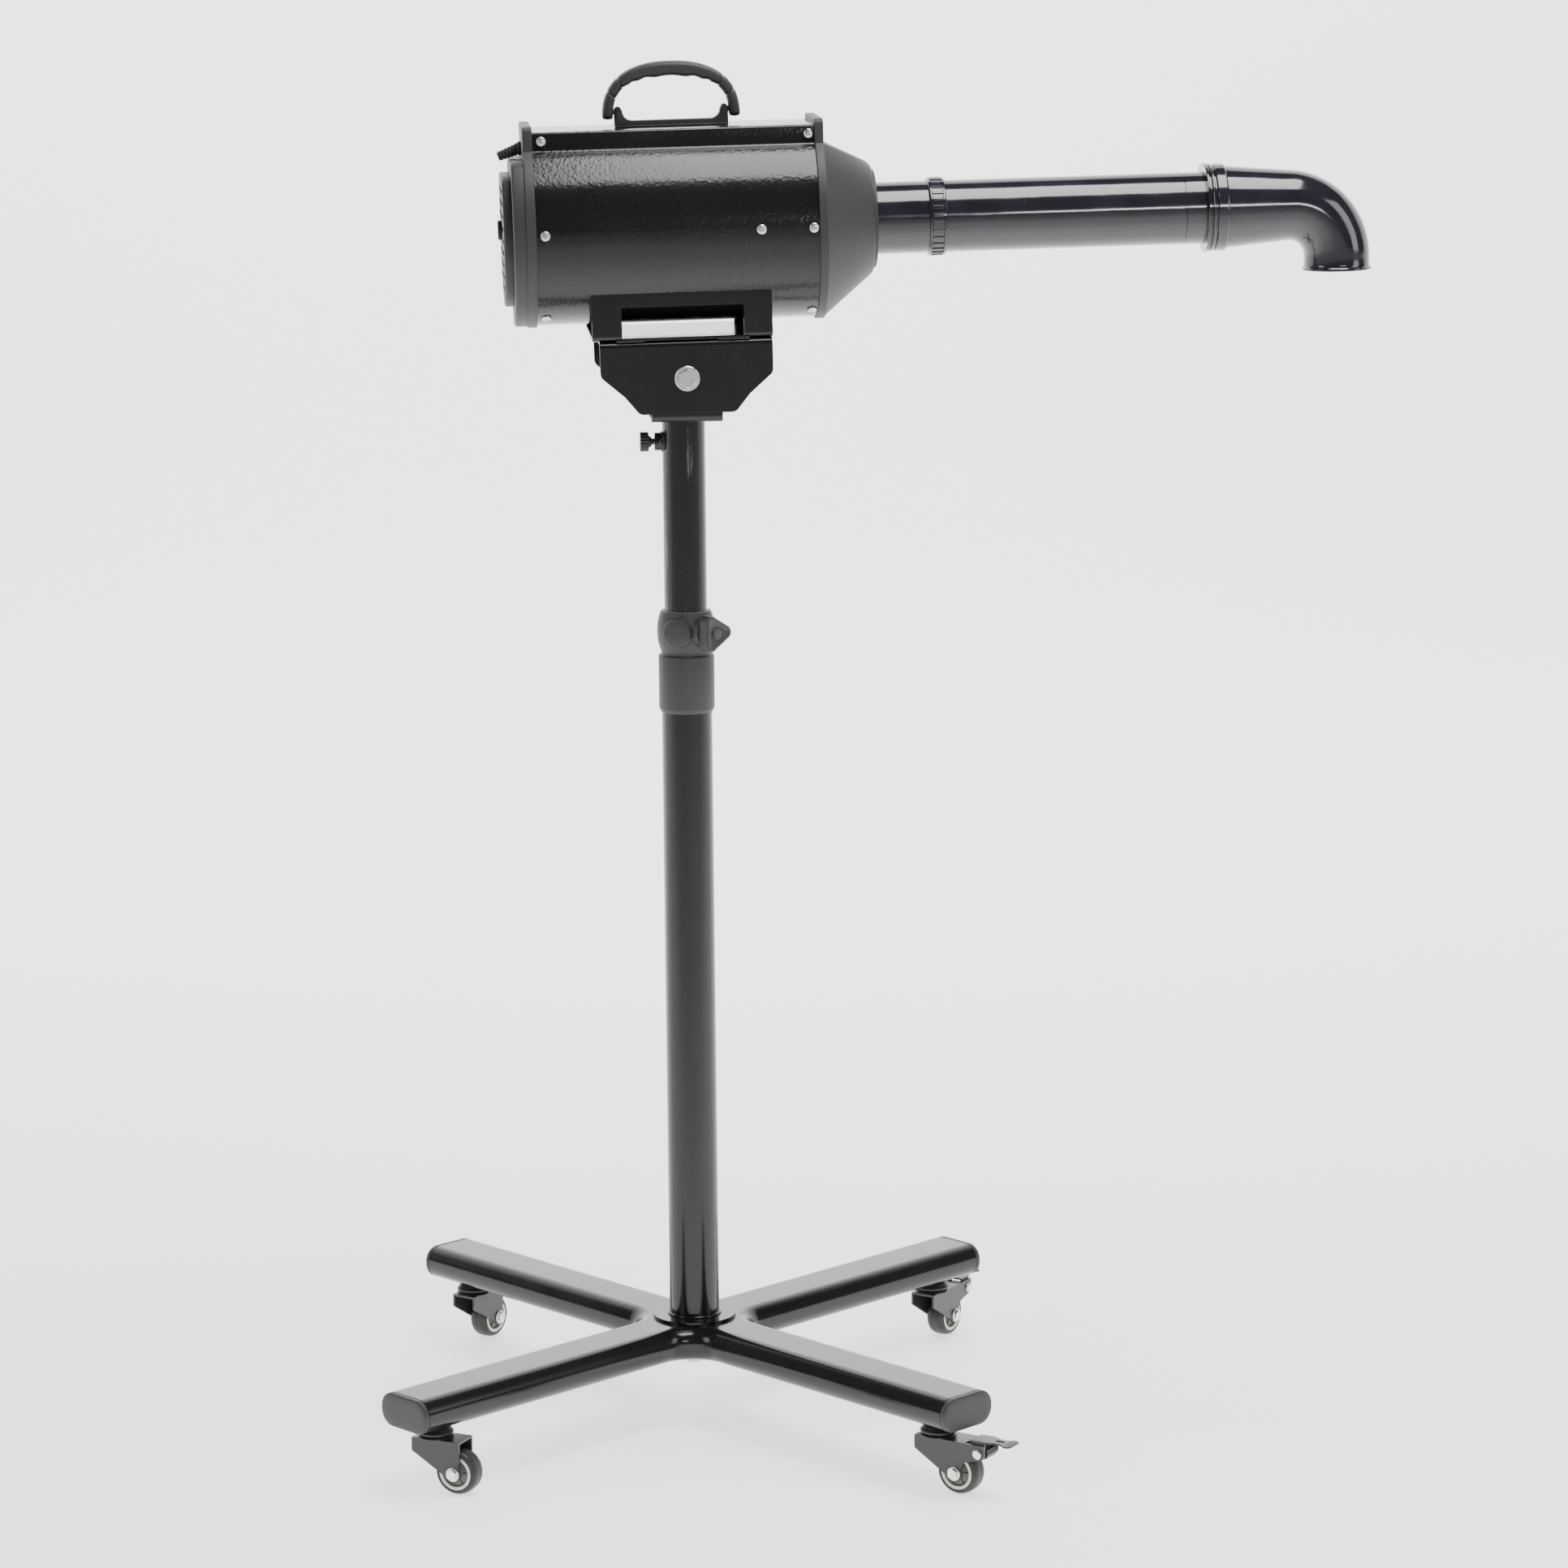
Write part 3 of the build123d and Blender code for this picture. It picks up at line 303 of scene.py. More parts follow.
def soft_matt(name, colour, scale, depth, roughness, worn=(0.1, 0.1, 0.1)):
    """Rubber, tread, nylon or foam: dull, mottled, with dust held in the texture."""
    made = Finish(name, colour, roughness, specular=0.4)
    texture = made.noise(scale, 3)
    dust = made.noise(scale * 0.12, 4).above(0.55, 0.3)
    made.set("Base Color", made.tint(made.colour, (*worn, 1), dust * 0.35))
    made.set("Roughness", roughness - 0.05 + texture * 0.15)
    made.bump(texture, depth)
    return made.material


def build_finishes():
    """Every finish of the dryer, by a plain name."""
    c = bpy.context.scene.dryer_colours
    coat, moulding, grip, nozzle = (tuple(v) for v in (c.coat, c.moulding, c.grip, c.nozzle))
    centre = tuple(c.wheel_centre)
    return {
        "coat": powder_coat("gloss_black_coat", coat, 260, 0.022 * MM),
        "riser_coat": powder_coat("rubbed_black_coat", coat, 260, 0.022 * MM, 0.8),
        "body_coat": powder_coat("orange_peel_coat", coat, 330, 0.16 * MM),
        "moulding": moulded("moulded_grey", moulding, 2600, 0.06 * MM, 0.5),
        "clamp": moulded("clamp_grey", lighter(moulding, 1.35)[:3], 2200, 0.06 * MM, 0.52),
        "grip": moulded("grip_plastic", grip, 1500, 0.14 * MM, 0.46),
        "black_plastic": moulded("black_plastic", (0.016, 0.015, 0.016), 1800, 0.06 * MM, 0.38),
        "nozzle": polished_plastic("polished_black", nozzle),
        "zinc": plated("bright_zinc", (0.80, 0.79, 0.77), 0.2),
        "steel": plated("turned_steel", (0.46, 0.45, 0.44), 0.32),
        "brass": plated("wire_brass", (0.62, 0.45, 0.22), 0.3),
        "fork": moulded("fork_coat", (0.030, 0.027, 0.029), 900, 0.05 * MM, 0.32),
        "tread": soft_matt("tread", (0.022, 0.020, 0.021), 700, 0.06 * MM, 0.42, (0.07, 0.066, 0.06)),
        "centre": moulded("wheel_nylon", centre, 1300, 0.04 * MM, 0.4),
        "hub": moulded("wheel_hub_grey", (0.13, 0.135, 0.115), 1300, 0.05 * MM, 0.42),
        "nylon": soft_matt("nylon", (0.55, 0.54, 0.50), 900, 0.03 * MM, 0.45, (0.4, 0.38, 0.33)),
        "rubber": soft_matt("rubber", (0.018, 0.018, 0.019), 1200, 0.05 * MM, 0.6),
        "foam": soft_matt("filter_foam", (0.022, 0.022, 0.024), 1500, 0.6 * MM, 0.9, (0.2, 0.19, 0.17)),
        "mica": soft_matt("mica_board", (0.50, 0.42, 0.28), 500, 0.05 * MM, 0.5, (0.3, 0.24, 0.15)),
        "duct": plated("duct_aluminium", (0.62, 0.62, 0.62), 0.36, 90),
        "fan": moulded("fan_plastic", (0.055, 0.055, 0.06), 1400, 0.05 * MM, 0.4),
        "board": soft_matt("circuit_board", (0.02, 0.12, 0.05), 420, 0.12 * MM, 0.4, (0.3, 0.28, 0.2)),
    }


CAD_FINISHES = {
    "base_hub": "coat", "hub_bolt": "zinc", "outer_tube": "coat", "inner_tube": "riser_coat",
    "collar_bush": "nylon", "glide_bush": "nylon", "tilt_washers": "nylon", "tilt_bolt": "zinc",
    "legs": "coat", "leg_end_caps": "moulding", "castor_stems": "fork", "clamp_collar": "clamp",
    "clamp_knob": "clamp", "thumb_screw": "black_plastic", "yoke": "coat", "clevis": "coat",
    "saddle": "coat", "body_shell": "body_coat", "control_box": "body_coat", "rear_cap": "moulding",
    "filter_cover": "moulding", "filter_pad": "foam", "filter_knob": "black_plastic",
    "cable_gland": "rubber", "front_cone": "moulding", "body_screws": "zinc", "air_duct": "duct",
    "fan_motor": "steel", "impeller": "fan", "heater": "mica", "control_board": "board",
    "power_rocker": "black_plastic", "heat_rocker": "black_plastic", "switch_frames": "black_plastic",
    "speed_knob": "black_plastic", "nozzle_base": "nozzle", "lock_ring": "nozzle",
    "nozzle_tube": "nozzle", "elbow": "nozzle", "handle_base": "grip", "handle_pins": "steel",
    "handle_grip": "grip",
}
CASTOR_FINISHES = {"fork": "fork", "axle": "zinc", "tyre": "tread", "rim": "centre", "brake": "fork"}
FINISHES = {}


def finish(name):
    """A finish by its name; all of them are made when the first is asked for."""
    if not FINISHES:
        FINISHES.update(build_finishes())
    return FINISHES[name]


# ---- modelling helpers
def start_clean():
    """Leave edit mode and select nothing."""
    if bpy.context.mode != "OBJECT":
        bpy.ops.object.mode_set(mode="OBJECT")
    bpy.ops.object.select_all(action="DESELECT")


def only(piece):
    start_clean()
    piece.select_set(True)
    bpy.context.view_layer.objects.active = piece


def edit(piece, mode="VERT"):
    only(piece)
    bpy.ops.object.mode_set(mode="EDIT")
    bpy.ops.mesh.select_mode(type=mode)
    bpy.ops.mesh.select_all(action="DESELECT")


def pick(test, kind="verts", extend=False):
    """Select the vertices, edges or faces of the mesh in edit mode that pass a test."""
    mesh = bpy.context.edit_object.data
    work = bmesh.from_edit_mesh(mesh)
    for item in getattr(work, kind):
        if test(item):
            item.select_set(True)
        elif not extend:
            item.select_set(False)
    work.select_flush_mode()
    bmesh.update_edit_mesh(mesh)


def named(name):
    """The primitive that was just added, under its piece name."""
    piece = bpy.context.active_object
    piece.name = name
    piece.data.name = name
    return piece


def trace(name, points, closed=True):
    """Draw a line point by point from one vertex, and close it if asked."""
    points = [Vector(point) for point in points]
    start_clean()
    bpy.ops.mesh.primitive_plane_add(size=MM, location=points[0])
    piece = named(name)
    bpy.ops.object.mode_set(mode="EDIT")
    bpy.ops.mesh.select_mode(type="VERT")
    bpy.ops.mesh.select_all(action="SELECT")
    bpy.ops.mesh.merge(type="CENTER")
    for here, there in zip(points, points[1:]):
        bpy.ops.mesh.extrude_vertices_move(TRANSFORM_OT_translate={"value": there - here})
    if closed:
        ends = (points[0] - points[0], points[-1] - points[0])
        pick(lambda v: min((v.co - end).length for end in ends) < 1e-7)
        bpy.ops.mesh.edge_face_add()
    settle(piece)
    return piece


def settle(piece, place=None):
    """Bring the object to the origin, unturned and unscaled, with its place in its mesh."""
    only(piece)
    if place is not None:
        piece.matrix_world = place @ piece.matrix_world
    bpy.ops.object.transform_apply(location=True, rotation=True, scale=True)


def turned(name, profile, steps=64):
    """Turn an outline of (radius, height) points about Z."""
    piece = trace(name, [(radius, 0, height) for radius, height in profile])
    edit(piece)
    bpy.ops.mesh.select_all(action="SELECT")
    bpy.ops.mesh.spin(steps=steps, angle=2 * pi, center=(0, 0, 0), axis=(0, 0, 1))
    tidy_mesh()
    start_clean()
    return piece


def tidy_mesh(gap=1e-6):
    """Merge what coincides and turn every face outwards, in edit mode."""
    bpy.ops.mesh.select_all(action="SELECT")
    bpy.ops.mesh.remove_doubles(threshold=gap)
    bpy.ops.mesh.delete_loose()
    bpy.ops.mesh.select_all(action="SELECT")
    bpy.ops.mesh.normals_make_consistent(inside=False)


def draw_out(piece, way, filled=False):
    """Draw a line out into a strip, or its filled outline into a solid."""
    edit(piece)
    bpy.ops.mesh.select_all(action="SELECT")
    if filled:
        bpy.ops.mesh.edge_face_add()
    bpy.ops.mesh.extrude_region_move(TRANSFORM_OT_translate={"value": Vector(way)})
    tidy_mesh()
    start_clean()
    return piece


def plate(name, outline, depth):
    """Cut a plate to an outline in its own plane and give it its thickness."""
    return draw_out(trace(name, outline), depth, filled=True)


def modify(piece, kind, **settings):
    """Add a modifier and apply it."""
    only(piece)
    added = piece.modifiers.new(kind.title(), kind)
    for key, value in settings.items():
        setattr(added, key, value)
    bpy.ops.object.modifier_apply(modifier=added.name)
    return piece


def soften(piece, radius, segments=2, angle=30, smooth=35):
    """Round the sharp edges and shade the rest smooth."""
    modify(piece, "BEVEL", width=radius, segments=segments, limit_method="ANGLE",
           angle_limit=radians(angle), harden_normals=False, miter_outer="MITER_ARC")
    smooth_off(piece, smooth)
    modify(piece, "WEIGHTED_NORMAL", keep_sharp=True)
    return piece


def smooth_off(piece, angle=35):
    only(piece)
    bpy.ops.object.shade_smooth_by_angle(angle=radians(angle))
    return piece


def block(name, low, high):
    """A box between two corners, to be shaped further."""
    low, high = Vector(low), Vector(high)
    start_clean()
    bpy.ops.mesh.primitive_cube_add(size=1, location=(low + high) / 2)
    piece = named(name)
    piece.scale = high - low
    settle(piece)
    return piece


def rod(name, radius, start, end, sides=32):
    """A round bar between two points, to be shaped further."""
    start, end = Vector(start), Vector(end)
    start_clean()
    bpy.ops.mesh.primitive_cylinder_add(vertices=sides, radius=radius, depth=(end - start).length,
                                        location=(start + end) / 2)
    piece = named(name)
    piece.rotation_euler = (end - start).to_track_quat("Z", "Y").to_euler()
    settle(piece)
    return piece


def discard(*pieces):
    for piece in pieces:
        bpy.data.objects.remove(piece)


def combine(piece, operation, *others):
    """Combine the piece with others, which are used up."""
    for other in others:
        modify(piece, "BOOLEAN", operation=operation, object=other, solver="EXACT")
        discard(other)
    return piece


def cut(piece, *tools):
    return combine(piece, "DIFFERENCE", *tools)


def bevel_edges(piece, test, width, segments):
    """Round the edges that pass a test."""
    edit(piece, "EDGE")
    pick(test, "edges")
    bpy.ops.mesh.bevel(offset=width, segments=segments, affect="EDGES")
    start_clean()
    return piece


def run(edge, axis):
    """How far an edge runs along an axis."""
    return abs(edge.verts[0].co[axis] - edge.verts[1].co[axis])


def thicken(sheet, thickness, offset):
    """Give a sheet its thickness."""
    modify(sheet, "SOLIDIFY", thickness=thickness, offset=offset, use_even_offset=True)
    edit(sheet)
    tidy_mesh()
    start_clean()
    return sheet


def joined(*parts):
    """Join parts into the first one."""
    only(parts[0])
    for part in parts[1:]:
        part.select_set(True)
    bpy.ops.object.join()
    return parts[0]


def copy_of(piece, name, place):
    """A copy with its own mesh, set somewhere else."""
    only(piece)
    bpy.ops.object.duplicate(linked=False)
    made = named(name)
    settle(made, place)
    return made


def fit(piece, body, finish_name, nodes=(), place=None):
    """Set the finished piece in place, paint it, and let it ride on its body."""
    settle(piece, place)
    piece.data.materials.clear()
    piece.data.materials.append(finish(finish_name))
    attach(piece, body)
    for node in nodes:
        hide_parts(node)
    return piece


def wire(name, path, radius, closed, roundness=3, capped=False):
    """A round wire laid along a path."""
    piece = trace(name, path, closed)
    only(piece)
    bpy.ops.object.convert(target="CURVE")
    piece.data.bevel_depth = radius
    piece.data.bevel_resolution = roundness
    piece.data.use_fill_caps = capped
    bpy.ops.object.convert(target="MESH")
    return piece


def weld_bead(name, path, radius, closed=True):
    """A rippled bead of weld laid along a path."""
    piece = wire(name, path, radius, closed)
    ripple = bpy.data.textures.new(name + "_ripple", "CLOUDS")
    ripple.noise_scale = radius * 1.6
    modify(piece, "DISPLACE", texture=ripple, strength=radius * 0.45, mid_level=0.5,
           texture_coords="LOCAL")
    return smooth_off(piece, 80)


def ring_path(radius, height, steps=64):
    return [(radius * cos(2 * pi * n / steps), radius * sin(2 * pi * n / steps), height)
            for n in range(steps)]


def extent(node, place):
    """Lowest and highest corner of a frame node, measured in a local placement."""
    back = place.inverted()
    spots = [back @ vertex.co for vertex in frame["nodes"][node].data.vertices]
    low = Vector([min(spot[axis] for spot in spots) for axis in range(3)])
    high = Vector([max(spot[axis] for spot in spots) for axis in range(3)])
    return low, high


def arc(centre, radius, start, end, steps):
    """Points (across, up) along an arc, angles in degrees."""
    angles = [radians(start + (end - start) * n / steps) for n in range(steps + 1)]
    return [(centre[0] + radius * cos(a), centre[1] + radius * sin(a)) for a in angles]


def mm(*numbers):
    """Millimetres as metres."""
    return tuple(number * MM for number in numbers)


def in_mm(points):
    return [mm(*point) for point in points]


def upright(points, y):
    """Stand (across, up) points in the plane of a given Y."""
    return [(across, y, up) for across, up in points]


def crosswise(points, x):
    """Stand (across, up) points in the plane of a given X."""
    return [(x, across, up) for across, up in points]


def lathe(name, outline, steps, angle=35):
    """Turn an outline given in millimetres about Z and shade it smooth."""
    return smooth_off(turned(name, in_mm(outline), steps), angle)


def shift(x, y, z):
    """A placement moved without a turn."""
    return Matrix.Translation((x, y, z))


AXLE_WAY = Matrix.Rotation(-pi / 2, 4, "X")      # lays a piece made along +Z out along +Y
NEAR_WAY = Matrix.Rotation(pi / 2, 4, "X")       # lays a piece made along +Z out along -Y
ALONG_X = Matrix.Rotation(pi / 2, 4, "Y")        # lays a piece made along +Z out along +X
UPSIDE_DOWN = Matrix.Rotation(pi, 4, "X")


def hex_head(name, half_corner, height, chamfer=0.8 * MM):
    """A hexagon head or nut standing on Z = 0, its top corners turned off."""
    start_clean()
    bpy.ops.mesh.primitive_cylinder_add(vertices=6, radius=half_corner, depth=height,
                                        location=(0, 0, height / 2))
    head = named(name)
    settle(head)
    rim = half_corner + MM
    outline = [(0, -MM), (rim, -MM), (rim, height - chamfer * 0.9),
               (half_corner * 0.93, height - chamfer * 0.25), (half_corner * 0.86, height), (0, height)]
    combine(head, "INTERSECT", turned(name + "_cone", outline, 48))
    return soften(head, 0.18 * MM, 2, 25)


# ---- base
def flat_oval(name, start, end, width, height, corner, axis_z):
    """A flat-oval bar along +X, its four long edges rolled round."""
    bar = block(name, (start, -width / 2, axis_z - height / 2), (end, width / 2, axis_z + height / 2))
    bevel_edges(bar, lambda e: run(e, 0) > (end - start) / 2, corner, 10)
    edit(bar)
    tidy_mesh()
    start_clean()
    return bar


def leg_sizes():
    """Section and reach of a leg, read from the frame."""
    place = leg_frame("front_right")
    back = place.inverted()
    spots = [back @ v.co for v in frame["nodes"]["legs"].data.vertices]
    mine = [s for s in spots if s.x > 0.06 and abs(s.y) < 0.04]
    start = min(s.x for s in mine)
    end = max(s.x for s in mine)
    width = 2 * max(abs(s.y) for s in mine)
    low = min(s.z for s in mine)
    high = max(s.z for s in mine)
    return start, end, width, low, high


class DRYER_OT_legs(bpy.types.Operator):
    """Four flat-oval legs with their stem holes and domed end caps"""
    bl_idname = "dryer.legs"
    bl_label = "Legs"

    def execute(self, context):
        start, end, width, low, high = leg_sizes()
        height, middle = high - low, (high + low) / 2
        corner, wall = 14 * MM, 2 * MM
        leg = flat_oval("leg", start, end, width, height, corner, middle)
        edit(leg, "FACE")
        pick(lambda f: abs(f.normal.x) > 0.9, "faces")
        bpy.ops.mesh.delete(type="FACE")
        start_clean()
        modify(leg, "SOLIDIFY", thickness=wall, offset=-1, use_even_offset=True)
        soften(leg, 0.3 * MM, 1, 60)
        swivel = joint_place("swivel_front_right")
        castor_r = hypot(swivel.x, swivel.y)
        hole = rod("stem_hole", 5.4 * MM, (castor_r, 0, 0), (castor_r, 0, middle), 40)
        cut(leg, hole)
        smooth_off(leg)
        face = extent("leg_end_caps", leg_frame("front_right"))[1].x
        cap = flat_oval("leg_cap", end, face - 1.2 * MM, width, height, corner, middle)
        edit(cap, "FACE")
        pick(lambda f: f.normal.x > 0.9, "faces")
        for inset, rise in ((2.2 * MM, 0.75 * MM), (3.2 * MM, 0.32 * MM), (4.0 * MM, 0.13 * MM)):
            bpy.ops.mesh.inset(thickness=inset, depth=rise)
        start_clean()
        soften(cap, 1.1 * MM, 3, 25, 60)
        plug = flat_oval("leg_plug", end - 12 * MM, end + MM, width - 2 * wall - 0.2 * MM,
                         height - 2 * wall - 0.2 * MM, corner - wall, middle)
        soften(plug, 0.8 * MM, 2)
        joined(cap, plug)
        for corner_name in CORNERS:
            place = leg_frame(corner_name)
            made = copy_of(leg, f"leg_{corner_name}", place)
            fit(made, "stand", "coat", ["legs"])
            made = copy_of(cap, f"leg_cap_{corner_name}", place)
            fit(made, "stand", "moulding", ["leg_end_caps"])
        discard(leg, cap)
        return {"FINISHED"}


class DRYER_OT_hub_fittings(bpy.types.Operator):
    """Weld bead round the mast's foot, and the cone washer, stud and nut under the hub"""
    bl_idname = "dryer.hub_fittings"
    bl_label = "Hub fittings"

    def execute(self, context):
        mast_low, mast_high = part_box("outer_tube")
        weld = context.scene.dryer_sizes.weld
        bead = weld_bead("mast_weld", ring_path(mast_high.x + weld * 0.3, mast_low.z + weld * 0.35), weld)
        fit(bead, "stand", "coat")
        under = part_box("base_hub")[0].z
        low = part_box("hub_bolt")[0].z
        bore, r, foot = 6.2 * MM, 15 * MM, under - 8 * MM
        washer = turned("hub_washer", [(bore, foot), (r, foot), (r, under - 6.8 * MM),
                                       (r * 0.82, under - 4.4 * MM), (r * 0.64, under - 1.6 * MM),
                                       (r * 0.6, under), (bore, under)])
        soften(washer, 0.3 * MM)
        nut = hex_head("hub_nut", 9 * MM, 5 * MM)
        settle(nut, shift(0, 0, foot) @ UPSIDE_DOWN)
        stud_r, stud_top = 5.9 * MM, under + 44 * MM
        stud = turned("hub_stud", [(0, low), (5 * MM, low), (stud_r, low + 0.9 * MM), (stud_r, stud_top),
                                   (0, stud_top)], 40)
        joined(nut, smooth_off(stud))
        fit(washer, "stand", "fork")
        fit(nut, "stand", "zinc", ["hub_bolt"])
        return {"FINISHED"}


# ---- castors
def castor_sizes():
    """Trail and wheel radius, read from the joints."""
    axle = joint_place("roll_front_left")
    swivel = joint_place("swivel_front_left")
    return hypot(axle.x - swivel.x, axle.y - swivel.y), axle.z


def castor_race():
    """Upper ball race with its stem and nut, made about the swivel."""
    race = lathe("race", [(0, 51.7), (15.4, 51.7), (16.0, 52.3), (16.0, 53.6), (15.5, 54.4), (14.4, 55.2),
                          (13.4, 56.9), (12.2, 58.4), (9.6, 59.6), (9, 60.2), (9, 61.5), (0, 61.5)], 56, 28)
    stem = lathe("stem", [(0, 61.4), (4.9, 61.4), (4.9, 80.6), (4.1, 81.4), (0, 81.4)], 28)
    nut = hex_head("nut", 8.5 * MM, 7 * MM)
    settle(nut, shift(0, 0, 63.8 * MM))
    return joined(race, stem, nut)


def castor_fork(braked):
    """Folded sheet fork: two tapering cheeks, a top plate and the lower race."""
    trail, wheel_r = (size / MM for size in castor_sizes())
    rear, low = (53, 37) if braked else (29.5, 30)
    top = 49
    outline = [(-17, top), (rear, top)]
    if braked:
        outline += arc((46.5, 41.5), 6.6, 15, -95, 8)
        outline += arc((38.5, 24.0), 9.0, 100, 175, 5)
    else:
        outline += arc((rear - 4, low + 2), 4, 0, -50, 4)
    outline += arc((trail, wheel_r), 7.5, 28, -152, 16)
    outline += arc((-12, top - 10), 5.2, 205, 180, 2)
    half, sheet = 12.5, 2
    cheeks = [plate("cheek", upright(in_mm(outline), side * half * MM), mm(0, -side * sheet, 0))
              for side in (-1, 1)]
    roof_end = 33 if braked else rear
    roof = block("roof", mm(-17, -half, top - sheet), mm(roof_end, half, top))
    fork = combine(roof, "UNION", *cheeks)
    soften(fork, 0.7 * MM, 3, 40)
    parts = [lathe("lower_race", [(0, 48.8), (16.2, 48.8), (16.3, 49.5), (15.6, 50.3), (14.2, 50.7),
                                  (13.4, 51.2), (0, 51.2)], 56)]
    boss_ring = [(3.2, 12.3), (6.6, 12.3), (6.6, 12.75), (6.1, 13.0), (3.2, 13.0)]
    for side in (-1, 1):
        boss = lathe("boss", [(r, side * h) for r, h in boss_ring], 40)
        settle(boss, shift(*mm(trail, 0, wheel_r)) @ AXLE_WAY)
        parts.append(boss)
    return joined(fork, *parts)


def castor_axle():
    """Hexagon axle bolt with a pressed flange, and its nut with the thread's end."""
    trail, wheel_r = castor_sizes()
    bolt = lathe("bolt", [(0, -15), (2.9, -15), (2.9, 15.0), (2.3, 15.9), (0, 15.9)], 28)
    head, nut = (hex_head(name, 5.2 * MM, 2.6 * MM, 0.7 * MM) for name in ("head", "nut"))
    settle(head, shift(0, 0, -13.4 * MM) @ UPSIDE_DOWN)
    flange = lathe("flange", [(0, -13.05), (6.0, -13.05), (6.2, -13.3), (5.4, -13.6), (0, -13.6)], 40)
    settle(nut, shift(0, 0, 13.05 * MM))
    axle = joined(bolt, head, flange, nut)
    settle(axle, shift(trail, 0, wheel_r) @ AXLE_WAY)
    return axle


def castor_wheel():
    """Round tread, nylon ring and dished hub with ribs, as three pieces."""
    trail, wheel_r = castor_sizes()
    tread_line = [(15.5, -9.0), (16.6, -9.0), (16.9, -8.6), (17.4, -8.6), (18.6, -7.6), (19.45, -6.0),
                  (19.85, -4.0), (19.98, -2.0), (20.0, -0.25), (19.86, 0.0)]
    tread_line += [(r, -h) for r, h in reversed(tread_line[:-1])]
    ring_line = [(12.4, -8.0), (12.7, -8.7), (13.2, -8.9), (14.9, -8.9), (15.45, -8.4)]
    ring_line += [(r, -h) for r, h in reversed(ring_line)]
    hub_line = [(3.05, -9.8), (5.6, -9.8), (6.1, -9.3), (6.6, -6.9), (7.3, -6.3), (11.4, -6.0),
                (12.2, -6.7), (12.42, -7.4)]
    hub_line += [(r, -h) for r, h in reversed(hub_line)]
    place = shift(trail, 0, wheel_r) @ AXLE_WAY
    pieces = [lathe(name, line, 72, 32)
              for name, line in (("tread", tread_line), ("ring", ring_line), ("hub", hub_line))]
    spokes = 6
    ribs = []
    for side in (-1, 1):
        for turn in range(spokes):
            low, high = sorted((side * 5.4 * MM, side * 7.4 * MM))
            rib = block("rib", (6.2 * MM, -0.55 * MM, low), (12.3 * MM, 0.55 * MM, high))
            soften(rib, 0.25 * MM, 2)
            settle(rib, Matrix.Rotation(turn * 2 * pi / spokes, 4, "Z"))
            ribs.append(rib)
    joined(pieces[2], *ribs)
    for piece in pieces:
        settle(piece, place)
    return pieces


def brake_pedal():
    """Pressed pedal with a slot and grip ridges, its ears, cam, pin and spring."""
    low, thick = 50.2, 1.8
    side = [(37.5, 10.2), (53, 10.2), (59, 6.6), (66, 6.6), (70.5, 9.9)]
    side += arc((72.5, 6.0), 4.0, 75, 0, 5)
    outline = [(x, -y) for x, y in side] + [(x, y) for x, y in reversed(side)]
    pedal = plate("pedal", [mm(x, y, low) for x, y in outline], mm(0, 0, thick))
    slot = block("slot", mm(57.5, -1.9, 45), mm(66.5, 1.9, 60))
    cut(pedal, bevel_edges(slot, lambda e: run(e, 2) > 5 * MM, 1.8 * MM, 5))
    soften(pedal, 0.5 * MM, 2, 40)
    parts = []
    for x in (70.0, 72.2, 74.4):
        ridge = block("ridge", mm(x, -6.5, low + thick - 0.2), mm(x + 1.0, 6.5, low + thick + 0.35))
        parts.append(soften(ridge, 0.25 * MM, 2))
    px, pz = 46.5, 41.5
    for y in (-10.2, 8.2):
        ear_line = arc((px, pz), 5.4, 200, 340, 10) + [(px + 6, low + 0.4), (px - 7.5, low + 0.4)]
        ear = plate("ear", upright(in_mm(ear_line), y * MM), mm(0, 2, 0))
        parts.append(soften(ear, 0.4 * MM, 2, 40))
    cam_line = [(px - 3.4, pz + 2), (px - 2.6, pz - 6)]
    for tooth in range(3):
        x = px - 1 + tooth * 3
        cam_line += [(x, pz - 5.0), (x + 1.4, pz - 6.4 + tooth)]
    cam_line += [(px + 8.0, pz - 1.0), (px + 6.0, pz + 3.0)]
    cam = plate("cam", upright(in_mm(cam_line), -8 * MM), mm(0, 16, 0))
    parts.append(soften(cam, 0.4 * MM, 2, 40))
    pedal = joined(pedal, *parts)
    pin = lathe("brake_pin", [(0, -14.7), (3.4, -14.7), (4.4, -13.9), (4.6, -12.7), (2.8, -12.7),
                              (2.8, 12.7), (4.6, 12.7), (4.4, 13.9), (3.4, 14.7), (0, 14.7)], 36)
    settle(pin, shift(*mm(px, 0, pz)) @ AXLE_WAY)
    turns, coil_r, length, steps = 7, 3.6, 11, 12
    coil = [(px + coil_r * cos(2 * pi * n / steps), length * n / (steps * turns) - length / 2,
             pz + coil_r * sin(2 * pi * n / steps)) for n in range(steps * turns + 1)]
    spring = wire("brake_spring", in_mm(coil), 0.5 * MM, False, 2, capped=True)
    return pedal, pin, smooth_off(spring, 80)


